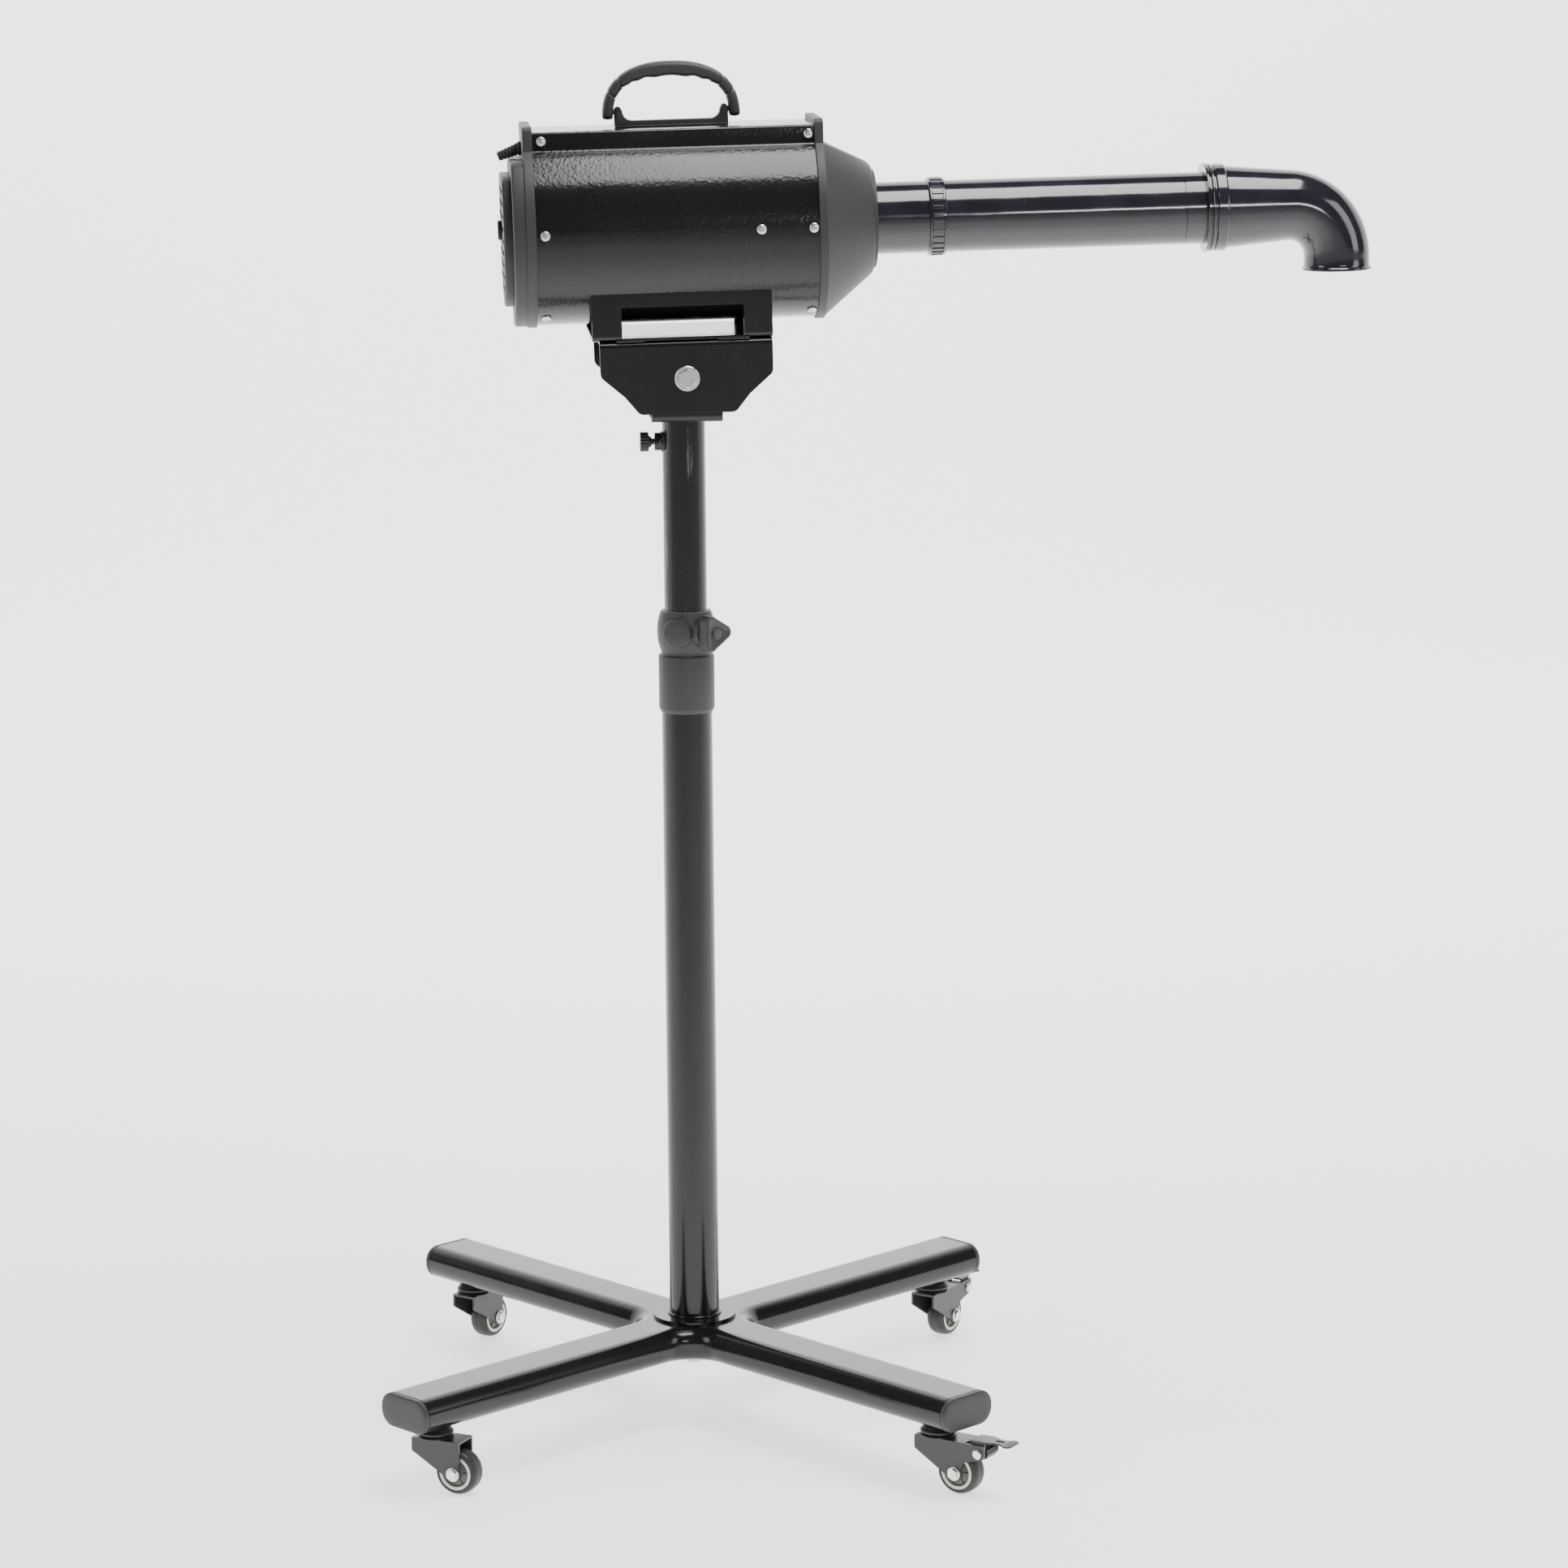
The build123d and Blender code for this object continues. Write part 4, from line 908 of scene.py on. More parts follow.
class DRYER_OT_castors(bpy.types.Operator):
    """Four twin-race swivel castors, two of them with brake pedals"""
    bl_idname = "dryer.castors"
    bl_label = "Castors"

    def execute(self, context):
        race = castor_race()
        forks = {braked: castor_fork(braked) for braked in (False, True)}
        axle = castor_axle()
        tread, ring, hub = castor_wheel()
        pedal, pin, spring = brake_pedal()
        for corner in CORNERS:
            place = castor_frame(corner)
            yoke, wheel = f"castor_{corner}", f"wheel_{corner}"
            braked = corner in BRAKED
            plan = [(race, "race", "stand", "black_plastic", ["castor_stems"], "fork_coat"),
                    (forks[braked], "fork_sheet", yoke, "fork", [f"fork_{corner}"], "fork_coat"),
                    (axle, "axle_bolt", yoke, "zinc", [f"axle_{corner}"], "zinc"),
                    (tread, "tread", wheel, "tread", [f"tyre_{corner}"], "tyre"),
                    (ring, "wheel_ring", wheel, "centre", [f"rim_{corner}"], "rim"),
                    (hub, "wheel_hub", wheel, "hub", [], "rim")]
            if braked:
                rides = f"pedal_{corner}"
                plan += [(pedal, "pedal", rides, "fork", [f"brake_{corner}"], "fork_coat"),
                         (pin, "pedal_pin", rides, "zinc", [], "zinc"),
                         (spring, "pedal_spring", rides, "steel", [], "zinc")]
            for source, name, body, kind, nodes, slot in plan:
                fit(copy_of(source, f"{name}_{corner}", place), body, kind, nodes)
        discard(race, *forks.values(), axle, tread, ring, hub, pedal, pin, spring)
        return {"FINISHED"}


# ---- mast
def ribbed_disc(name, radius, depth, ribs, height, bore=0.0):
    """A disc with a wavy rim, standing on Z = 0."""
    points = ribs * 6
    rim = []
    for n in range(points):
        turn = 2 * pi * n / points
        reach = radius - depth * (0.5 - 0.5 * cos(ribs * turn)) ** 2
        rim.append((reach * cos(turn), reach * sin(turn), 0))
    disc = plate(name, rim, (0, 0, height))
    if bore:
        cut(disc, rod("bore", bore, (0, 0, -MM), (0, 0, height + MM), 64))
    return disc


class DRYER_OT_mast(bpy.types.Operator):
    """Mast tube and riser tube with the welded boss for its thumb screw"""
    bl_idname = "dryer.mast"
    bl_label = "Mast"

    def execute(self, context):
        steps = context.scene.dryer_sizes.facets
        weld = context.scene.dryer_sizes.weld
        for node, body, wall, kind in (("outer_tube", "stand", 1.5 * MM, "coat"),
                                       ("inner_tube", "riser", 1.6 * MM, "riser_coat")):
            low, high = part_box(node)
            radius, soft = high.y, 0.4 * MM
            inside = radius - wall
            line = [(inside, low.z), (radius - soft, low.z), (radius, low.z + soft),
                    (radius, high.z - soft), (radius - soft, high.z), (inside, high.z)]
            tube = smooth_off(turned(f"{node}_skin", line, steps), 30)
            if node == "inner_tube":
                screw = joint_place("thumb_screw_turn")
                boss = lathe("boss", [(3.3, -16), (8, -16), (8, -25.4), (7.4, -26), (3.9, -26),
                                      (3.3, -25.4)], 48)
                settle(boss, shift(0, 0, screw.z) @ ALONG_X)
                path = [(-sqrt(radius ** 2 - across ** 2) - 0.3 * MM, across, screw.z + up)
                        for up, across, _ in ring_path(8.4 * MM, 0, 40)]
                joined(tube, boss, weld_bead("boss_weld", path, weld * 0.6))
            fit(tube, body, kind, [node])
        return {"FINISHED"}


class DRYER_OT_clamp(bpy.types.Operator):
    """Plastic sleeve and bulged clamp head, its three-cornered hand knob, and the thumb screw"""
    bl_idname = "dryer.clamp"
    bl_label = "Clamp"

    def sleeve(self, steps):
        low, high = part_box("clamp_collar")
        base, top, shoulder = low.z / MM, high.z / MM, 700
        tube_r, bush_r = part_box("outer_tube")[1].x / MM + 0.05, 20.5
        middle, seat = (shoulder + top) / 2 + 1.2, 690.1
        bulge = [(25.6 - 3.2 * (abs(n) / 6) ** 2.4, middle + n * 2.95) for n in range(-6, 7)]
        line = [(tube_r, base), (tube_r + 0.5, base), (24.1, base + 1.9), (24.6, base + 3.0),
                (24.8, base + 4.2), (24.8, shoulder - 1.6), (24.5, shoulder - 0.5), (23.8, shoulder),
                (22.7, shoulder + 0.2), (22.3, shoulder + 0.8), (22.3, shoulder + 1.6), *bulge,
                (22.2, top - 0.3), (21.6, top), (bush_r, top), (bush_r, seat), (tube_r, seat)]
        return lathe("clamp_sleeve", line, steps, 32)

    def boss(self, name, radius, reach, turn):
        """A round flat-faced boss that swells out of the clamp head."""
        line = [(0, 19.5), (radius + 1.2, 19.5), (radius + 0.6, reach - 3.6), (radius, reach - 1.4),
                (radius - 0.5, reach - 0.5), (radius - 1.4, reach), (4.2, reach), (0, reach)]
        boss = lathe(name, line, 56, 30)
        place = shift(0, 0, joint_place("clamp_knob_turn").z) @ Matrix.Rotation(turn, 4, "Z")
        settle(boss, place @ ALONG_X)
        hollow = rod("hollow", 20.6 * MM, (0, 0, 0.69), (0, 0, 0.75), 64)
        return cut(boss, hollow)

    def knob(self):
        """Three rounded lobes with a recessed face, a cap, a neck and a stud."""
        lobe_r, lobe_out, spread = 6.4, 11.2, 72
        outline = []
        for corner in (90, 210, 330):
            middle = (lobe_out * cos(radians(corner)), lobe_out * sin(radians(corner)))
            outline += arc(middle, lobe_r, corner - spread, corner + spread, 10)
        knob = plate("hand_knob", [mm(x, y, 0) for x, y in outline], mm(0, 0, 12))
        soften(knob, 1.9 * MM, 4, 50)
        edit(knob, "FACE")
        pick(lambda f: f.normal.z > 0.99 and f.calc_area() > 80e-6, "faces")
        bpy.ops.mesh.inset(thickness=1.6 * MM, depth=0)
        bpy.ops.mesh.inset(thickness=0.7 * MM, depth=-0.9 * MM)
        start_clean()
        smooth_off(knob, 40)
        cap = lathe("knob_cap", [(0, 11.0), (5.2, 11.0), (5.2, 11.9), (4.6, 12.5), (2, 12.8),
                                 (0, 12.85)], 40)
        neck = lathe("knob_neck", [(4.0, 0.5), (8.2, 0.5), (7.6, 0), (4.0, 0)], 40)
        stud = lathe("knob_stud", [(0, -8), (3.4, -8), (4, -7.4), (4, 0.5), (0, 0.5)], 32)
        knob = joined(knob, cap, neck, stud)
        settle(knob, clamp_frame() @ shift(0, 0, 28.3 * MM))
        return knob

    def execute(self, context):
        out = joint_axis("clamp_knob_turn")
        knob_turn = atan2(out.y, out.x)
        parts = [self.sleeve(context.scene.dryer_sizes.facets),
                 self.boss("knob_seat", 13.4, 28.0, knob_turn),
                 self.boss("nut_seat", 12.6, 26.9, knob_turn - radians(62))]
        fit(joined(*parts), "stand", "clamp", ["clamp_collar"])
        fit(self.knob(), "hand_knob", "clamp", ["clamp_knob"])
        low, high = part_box("thumb_screw")
        place = shift(0, 0, joint_place("thumb_screw_turn").z) @ ALONG_X
        knob = ribbed_disc("thumb_knob", 8.6 * MM, 0.9 * MM, 18, 7.5 * MM)
        soften(knob, 0.6 * MM, 3, 60, 50)
        collar = lathe("thumb_collar", [(0, 7), (5.4, 7), (5.0, 8.6), (4.2, 9.9), (0, 9.9)], 40)
        settle(joined(knob, collar), place @ shift(0, 0, low.x))
        thread = [((3.1 - 0.3 * (n % 2)) * MM, low.x + (9.5 + n * 0.55) * MM) for n in range(20)]
        shank = turned("thumb_shank", [(0, low.x + 9.5 * MM), *thread, (0, high.x)], 24)
        settle(shank, place)
        fit(knob, "thumb_screw", "black_plastic", ["thumb_screw"])
        fit(smooth_off(shank, 50), "thumb_screw", "steel")
        return {"FINISHED"}


# ---- bracket
def folded(name, section, thickness, start, end):
    """Sheet folded along X: an open line of (Y, Z) points drawn out and given its thickness."""
    line = trace(name, crosswise(section, start), closed=False)
    return thicken(draw_out(line, (end - start, 0, 0)), thickness, 0)


def channel(half, floor, top, bend, turn_down=False):
    """Outline of a U across Y: two walls and a floor, with rolled corners."""
    side = -1 if turn_down else 1
    left = [(-half, top), *arc((bend - half, floor + side * bend), bend, 180, 180 + side * 90, 6)]
    return left + [(-y, z) for y, z in reversed(left)]


def trimmed(piece, outline, half_width):
    """Trim a piece to an outline given in (X, Z)."""
    tool = plate("trim", upright(outline, -half_width), (0, 2 * half_width, 0))
    return combine(piece, "INTERSECT", tool)


def tilt_frame():
    """Origin at the tilt bolt, with the head's own level."""
    return Matrix.Translation(joint_place("head_tilt")) @ HEAD.to_3x3().to_4x4()


class DRYER_OT_yoke(bpy.types.Operator):
    """U yoke with its pan spigot, welded underneath"""
    bl_idname = "dryer.yoke"
    bl_label = "Yoke"

    def execute(self, context):
        low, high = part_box("yoke")
        pivot = joint_place("head_tilt").z
        base = joint_place("head_pan").z
        thick, edge = 3 * MM, context.scene.dryer_sizes.edge
        half_x, half_y = high.x, high.y
        section = channel(half_y - thick / 2, base + thick / 2, high.z, 5 * MM)
        ears = folded("yoke_sheet", section, thick, -half_x, half_x)
        shoulder = base + 13 * MM
        side = [(-half_x, base - MM), (half_x, base - MM), (half_x, shoulder)]
        side += [(x * MM, pivot + z * MM) for x, z in arc((0, 0), 15.0, 30, 150, 10)]
        side += [(-half_x, shoulder)]
        trimmed(ears, side, half_y + MM)
        soften(ears, edge, 2, 35)
        tube_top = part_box("inner_tube")[1]
        tube_r, rim = tube_top.y, tube_top.z + 0.3 * MM
        bore, snug, top = 13 * MM, tube_r - 1.66 * MM, base + 0.2 * MM
        spigot = turned("spigot", [(bore, low.z), (snug, low.z), (snug, rim), (tube_r, rim), (tube_r, top),
                                   (bore, top)], 72)
        weld = context.scene.dryer_sizes.weld
        bead = weld_bead("yoke_weld", ring_path(tube_r + 0.6 * MM, base - 0.3 * MM), weld)
        yoke = joined(ears, smooth_off(spigot), bead)
        fit(yoke, "yoke", "coat", ["yoke"])
        return {"FINISHED"}


class DRYER_OT_bracket(bpy.types.Operator):
    """Side plates, open saddle, welds and the tilt bolt"""
    bl_idname = "dryer.bracket"
    bl_label = "Bracket"

    def execute(self, context):
        sizes = context.scene.dryer_sizes
        place = tilt_frame()
        low, high = extent("clevis", place)
        sheet, edge = sizes.sheet, sizes.edge
        half_x, half_y = high.x, high.y
        section = channel(half_y - sheet / 2, high.z - sheet / 2, low.z, 4.5 * MM, turn_down=True)
        plates = folded("side_plates", section, sheet, -half_x, half_x)
        down = low.z / MM
        half = half_x / MM
        right = [(half, 60), (half, 6.5)] + arc((half - 8, 6.5), 8, 0, -38, 4)
        right += arc((half - 26, -12), 6, -32, -42, 2) + arc((38, down + 8), 8, -50, -90, 5)
        outline = right + [(-x, z) for x, z in reversed(right)]
        trimmed(plates, in_mm(outline), half_y + MM)
        soften(plates, edge, 2, 35)
        fit(plates, "head", "coat", ["clevis"], place)
        self.saddle(place, sheet, edge, half_y)
        self.welds(place, sizes.weld, high)
        self.bolt(place)
        return {"FINISHED"}

    def saddle(self, place, sheet, edge, half_y):
        low, high = extent("saddle", place)
        arms = ((low.x, low.x + 26 * MM), (high.x - 25 * MM, high.x))
        middle, rail = low.z + 1.5 * MM, high.z - 12 * MM
        section = channel(half_y - sheet / 2, middle, high.z - MM, 3.5 * MM)
        parts = [soften(folded("saddle_sheet", section, sheet, *arm), edge, 2, 40) for arm in arms]
        floor = block("floor", (arms[0][1] - MM, -half_y, middle - sheet / 2),
                      (arms[1][0] + MM, half_y, middle + sheet / 2))
        parts.append(soften(floor, edge, 2, 40))
        body_r = extent("body_shell", HEAD)[1].y
        axis_up = (HEAD.translation - joint_place("head_tilt")).length
        for side in (-1, 1):
            y = sorted((side * (half_y - 0.05 * MM), side * (half_y - 9 * MM)))
            rail_bar = block("rail", (low.x + 0.1 * MM, y[0], rail), (high.x - 0.1 * MM, y[1], high.z))
            body = rod("body", body_r, (-0.3, 0, axis_up), (0.3, 0, axis_up), 128)
            parts.append(soften(cut(rail_bar, body), edge * 0.6, 2, 40))
        fit(joined(*parts), "head", "coat", ["saddle"], place)

    def welds(self, place, weld, high):
        beads = []
        for side in (-1, 1):
            for start, end in ((-60, -34), (28, 56)):
                y = side * (high.y - 1.2 * MM)
                path = [(x * MM, y, high.z) for x in range(start, end, 3)]
                beads.append(weld_bead("bracket_weld", path, weld * 0.75, closed=False))
        fit(joined(*beads), "head", "coat", (), place)

    def bolt(self, place):
        end = extent("tilt_bolt", place)[1].y
        face = extent("clevis", place)[1].y
        head = hex_head("tilt_bolt_head", 8.4 * MM, 4.4 * MM, 1.1 * MM)
        settle(head, shift(0, -face - 1.3 * MM, 0) @ NEAR_WAY)
        washers = []
        for side, way in ((-1, NEAR_WAY), (1, AXLE_WAY)):
            ring = lathe("washer", [(4, 0), (10.4, 0), (10.8, 0.3), (10.8, 1.1), (10.3, 1.5), (4, 1.5)], 64)
            settle(ring, shift(0, side * face, 0) @ way)
            washers.append(ring)
        nut = hex_head("tilt_nut", 9.2 * MM, 7 * MM, 1.0 * MM)
        settle(nut, shift(0, face + 1.4 * MM, 0) @ AXLE_WAY)
        thread = [((5.0 - 0.25 * (n % 2)) * MM, face - 60 * MM + n * 0.8 * MM) for n in range(85)]
        shank = turned("tilt_shank", [(0, -face), (5 * MM, -face), *thread, (0, end)], 32)
        settle(smooth_off(shank, 50), AXLE_WAY)
        fit(joined(head, *washers, nut, shank), "head", "zinc", ["tilt_bolt"], place)


# ---- blower head
def ear_outline(radius, half_y, top, corner):
    """End-flange outline: a circle with a square-shouldered crown."""
    join = degrees(acos(half_y / radius))
    low = arc((0, 0), radius, join, -180 - join, 96)
    left = arc((-half_y + corner, top - corner), corner, 180, 90, 6)
    right = arc((half_y - corner, top - corner), corner, 90, 0, 6)
    return low + left + right


def flat_outline(radius, flat, corner):
    """A circle with its top cut flat, the corners eased."""
    join = 90 - degrees(acos(flat / radius))
    inset = corner / radius * 90
    low = arc((0, 0), radius, join - inset, -180 - join + inset, 96)
    half = sqrt(radius ** 2 - flat ** 2)
    return low + [(-half + corner * 1.4, flat), (half - corner * 1.4, flat)]


def head_spot(joint):
    """Where a joint sits, measured in the head's own level."""
    return HEAD.inverted() @ joint_place(joint)


FLANGE = ear_outline(85.5, 49.5, 91.0, 5.0)      # both end flanges, in millimetres


def slab(name, outline, start, end):
    """Extrude a cross-section, given in millimetres, between two stations."""
    return plate(name, crosswise(in_mm(outline), start), (end - start, 0, 0))


def at_station(x):
    """A test for the edges that lie on a piece's rear face, at a given X."""
    return lambda edge: all(vertex.co.x < x + 0.1 * MM for vertex in edge.verts)


class DRYER_OT_body(bpy.types.Operator):
    """Rolled body sheet, folded control-box lid and pan-head screws"""
    bl_idname = "dryer.body"
    bl_label = "Body"

    def shell(self, radius, start, end):
        """Sheet rolled round the axis, open under the lid."""
        gap, steps = 30, 160
        line = arc((0, 0), radius, 90 - gap, gap - 270, steps)
        shell = draw_out(trace("body_sheet", crosswise(line, start), closed=False), (end - start, 0, 0))
        return self.skin(shell, (0, 0, 0))

    def skin(self, sheet, inside):
        """Give a sheet its thickness towards a point inside it."""
        face = sheet.data.polygons[len(sheet.data.polygons) // 2]
        inwards = (Vector(inside) - face.center).dot(face.normal) > 0
        return smooth_off(thicken(sheet, 1.2 * MM, 1 if inwards else -1), 30)

    def lid(self, radius, start, end):
        """Folded lid with its openings for the two rockers and the dial."""
        high = extent("control_box", HEAD)[1]
        half, top, bend = high.y / MM, high.z / MM, 2.6
        foot = sqrt((radius / MM) ** 2 - half ** 2) + 0.4
        left = [(-half - 1.5, foot - 1.2), (-half - 0.5, foot - 0.2), (-half, foot + 0.8)]
        left += arc((-half + bend, top - bend), bend, 180, 90, 5)
        section = left + [(-y, z) for y, z in reversed(left)]
        lid = draw_out(trace("lid", crosswise(in_mm(section), start), closed=False), (end - start, 0, 0))
        self.skin(lid, (0, 0, 60 * MM))
        inner, outer = 30 * MM, 60 * MM
        tools = []
        for name in ("power_rocker_tip", "heat_rocker_tip"):
            spot = head_spot(name)
            tools.append(block("cutout", (spot.x - 9.5 * MM, inner, spot.z - 6 * MM),
                               (spot.x + 9.5 * MM, outer, spot.z + 6 * MM)))
        spot = head_spot("speed_dial_turn")
        tools.append(rod("cutout", 4 * MM, (spot.x, inner, spot.z), (spot.x, outer, spot.z)))
        return smooth_off(cut(lid, *tools), 30)

    def screw(self):
        """Pan head with a cross recess, standing on Z = 0."""
        head = turned("screw", in_mm([(0, -0.4), (3.9, -0.4), (4.4, 0.0), (4.4, 0.6), (4.1, 1.3),
                                      (3.4, 1.85), (2.3, 2.15), (0, 2.2)]), 32)
        for turn in (0, pi / 2):
            bar = block("bar", mm(-2.1, -0.42, 0.9), mm(2.1, 0.42, 3))
            settle(bar, Matrix.Rotation(turn, 4, "Z"))
            cut(head, bar)
        return smooth_off(head, 30)

    def screw_places(self, radius):
        """Near each end, round the body and on the lid's two walls, and one more on the near side."""
        low, high = extent("body_screws", HEAD)
        screw_r, seam = 4.4 * MM, 66.7 * MM
        wall_up = head_spot("power_rocker_tip").z
        wall = extent("control_box", HEAD)[1].y

        def on_body(x, turn):
            return shift(x, 0, 0) @ Matrix.Rotation(radians(90 + turn), 4, "X") @ shift(0, 0, radius)

        places = []
        for x in (low.x + screw_r, high.x - screw_r):
            places += [on_body(x, turn) for turn in (0, 62, 118, 180)]
            places += [shift(x, side * wall, wall_up) @ way
                       for side, way in ((-1, NEAR_WAY), (1, AXLE_WAY))]
        return [*places, on_body(seam, 0)]

    def execute(self, context):
        low, high = extent("body_shell", HEAD)
        radius = high.y
        for made, node in ((self.shell(radius, low.x, high.x), "body_shell"),
                           (self.lid(radius, low.x, high.x), "control_box")):
            fit(made, "head", "body_coat", [node], HEAD)
        screw = self.screw()
        copies = [copy_of(screw, f"body_screw_{n + 1}", place @ Matrix.Rotation(0.7 * n, 4, "Z"))
                  for n, place in enumerate(self.screw_places(radius))]
        discard(screw)
        for made in copies:
            fit(made, "head", "zinc", ["body_screws"], HEAD)
        return {"FINISHED"}


class DRYER_OT_rear_cap(bpy.types.Operator):
    """Rear end cap, slotted intake cover with its knob, and the cable's bend relief"""
    bl_idname = "dryer.rear_cap"
    bl_label = "Rear cap"

    def cap(self):
        """Eared flange and stepped band, hollow behind, with a bar across the mouth."""
        low = extent("rear_cap", HEAD)[0]
        face = extent("body_shell", HEAD)[0].x
        band_start = face - 8.5 * MM
        flange = slab("rear_cap", FLANGE, band_start, face)
        soften(flange, 0.9 * MM, 3, 50)
        band = slab("rear_band", flat_outline(84.2, 61.7, 3.0), low.x, band_start + MM)
        bevel_edges(band, at_station(low.x), 2.2 * MM, 4)
        combine(flange, "UNION", band)
        mouth = slab("mouth", flat_outline(59.5, 41.0, 2.0), low.x - 5 * MM, face + MM)
        hollow = slab("hollow", flat_outline(79.6, 57.4, 3.0), low.x + 3 * MM, face + MM)
        cut(flange, mouth, hollow)
        bar = block("bar", (low.x, -66 * MM, -6 * MM), (low.x + 3 * MM, 66 * MM, 6 * MM))
        soften(bar, 0.5 * MM, 2)
        return joined(smooth_off(flange, 30), bar)

    def cover(self):
        """Slotted disc with a flat top, its hub and the raised ring round the knob."""
        low, high = extent("filter_cover", HEAD)
        radius, flat = high.y / MM, high.z / MM
        cover = slab("intake_cover", flat_outline(radius, flat, 3.0), low.x, high.x)
        bevel_edges(cover, at_station(low.x), 2.0 * MM, 4)
        hollow = slab("hollow", flat_outline(radius - 3, flat - 3, 2.0), low.x + 2.5 * MM, high.x + MM)
        slots = []
        rows = 9
        pitch = (radius + flat - 20) / rows
        for row in range(rows):
            z = -radius + 12 + pitch * (row + 0.5)
            reach = sqrt((radius - 9) ** 2 - z ** 2)
            near = 12.5 if abs(z) < 13.5 else 1.6
            for side in (-1, 1):
                y = sorted((side * near, side * reach))
                slot = block("slot", (low.x - 10 * MM, y[0] * MM, (z - 2.2) * MM),
                             (low.x + 20 * MM, y[1] * MM, (z + 2.2) * MM))
                slots.append(bevel_edges(slot, lambda e: run(e, 0) > 10 * MM, 2.0 * MM, 4))
        cut(cover, hollow, joined(*slots))
        hub = rod("hub", 11 * MM, (low.x + 1.5 * MM, 0, 0), (high.x, 0, 0), 48)
        raised = lathe("raised", [(2.6, -0.9), (10.4, -0.9), (11.2, -0.2), (11.2, 0.6), (2.6, 0.6)], 48)
        settle(raised, shift(low.x + 0.9 * MM, 0, 0) @ ALONG_X)
        return joined(smooth_off(cover, 30), smooth_off(hub), raised)

    def knob(self):
        low, high = extent("filter_knob", HEAD)
        knob = ribbed_disc("intake_knob", 8.5 * MM, 0.8 * MM, 20, 3.4 * MM)
        soften(knob, 0.5 * MM, 2, 60, 50)
        face = lathe("knob_face", [(0, 0), (5.4, 0), (5.8, 0.3), (5.8, 1), (0, 1)], 40)
        for part in (knob, face):
            settle(part, shift(low.x, 0, 0) @ ALONG_X)
        shank = rod("knob_shank", 2.4 * MM, (low.x + 2 * MM, 0, 0), (high.x, 0, 0), 24)
        return joined(knob, face, smooth_off(shank))

    def relief(self):
        """Ribbed, tapered bend relief that droops out of its collar."""
        flange = extent("body_shell", HEAD)[0].x - 8.5 * MM
        up = extent("cable_gland", HEAD)[1].z - 6 * MM
        droop = radians(20)
        line = [(2.9, 0), (5.2, 0)]
        for n in range(6):
            at, fat = 1.2 + n * 3.05, 5.2 - n * 0.17
            line += [(fat, at), (fat, at + 1.7), (fat - 0.75, at + 2.0), (fat - 0.75, at + 2.8)]
        line += [(4.3, 19.4), (4.0, 19.9), (2.9, 19.9)]
        relief = lathe("cable_relief", line, 48, 30)
        core = lathe("cable_core", [(0, -2), (5.1, -2), (5.25, 0), (5.25, 1.4), (0, 1.4)], 48)
        for part in (relief, core):
            settle(part, shift(flange - 1.5 * MM, 0, up) @ Matrix.Rotation(-pi / 2 - droop, 4, "Y"))
        collar = lathe("cable_collar", [(0, -3), (5.2, -3), (6.0, -2.3), (6.0, 6), (0, 6)], 48)
        settle(collar, shift(flange, 0, up) @ ALONG_X)
        return joined(relief, core, collar)

    def execute(self, context):
        fit(self.cap(), "head", "moulding", ["rear_cap"], HEAD)
        fit(self.cover(), "intake_cover", "moulding", ["filter_cover"], HEAD)
        fit(self.knob(), "intake_knob", "black_plastic", ["filter_knob"], HEAD)
        fit(self.relief(), "head", "rubber", ["cable_gland"], HEAD)
        return {"FINISHED"}


class DRYER_OT_front_cone(bpy.types.Operator):
    """Front flange and the reducer with its flat facet"""
    bl_idname = "dryer.front_cone"
    bl_label = "Front cone"

    def execute(self, context):
        start, end = (extent(node, HEAD)[1].x / MM for node in ("body_shell", "front_cone"))
        base = start + 7.8
        flange = slab("front_cone", FLANGE, start * MM, base * MM)
        soften(flange, 0.9 * MM, 3, 50)
        tip, bore, foot_r, tip_r, rim_r = end - 3.5, 31.7, 84.0, 48.6, 43.0
        line = [(bore, base - 1), (foot_r, base - 1), (foot_r, base), (foot_r - 1.1, base + 1.2),
                (tip_r, tip - 1.2), (tip_r - 1, tip - 0.3), (tip_r - 2.2, tip + 0.6),
                (rim_r + 0.6, tip + 0.9), (rim_r, tip + 1.4), (rim_r, end - 0.6), (rim_r - 0.6, end),
                (bore, end)]
        cone = turned("cone", in_mm(line), 144)
        settle(cone, ALONG_X)
        facet_up, facet_fall = 69.5, 0.485
        tool = block("tool", mm(-20, -90, 0), mm(90, 90, 60))
        settle(tool, shift(*mm(base, 0, facet_up)) @ Matrix.Rotation(atan2(facet_fall, 1), 4, "Y"))
        cut(cone, tool)
        soften(cone, 0.4 * MM, 3, 18, 18)
        fit(joined(flange, cone), "head", "moulding", ["front_cone"], HEAD)
        return {"FINISHED"}


# ---- nozzle
def add_hoop(name, number, sides, radius, centre, axes):
    """Add a ring of vertices; the first one starts the piece and its edit mode."""
    turn = Matrix(axes).transposed().to_euler()
    bpy.ops.mesh.primitive_circle_add(vertices=sides, radius=radius, location=centre, rotation=turn)
    if number == 0:
        settle(named(name))
        bpy.ops.object.mode_set(mode="EDIT")
        bpy.ops.mesh.select_mode(type="VERT")


def bridge_hoops(number, sides):
    """Skin the last two rings."""
    if number:
        pick(lambda v: v.index >= (number - 1) * sides)
        bpy.ops.mesh.bridge_edge_loops()


def finish_loft():
    """Turn the skin outwards and leave edit mode."""
    piece = bpy.context.edit_object
    bpy.ops.mesh.select_all(action="SELECT")
    bpy.ops.mesh.normals_make_consistent(inside=False)
    start_clean()
    return piece


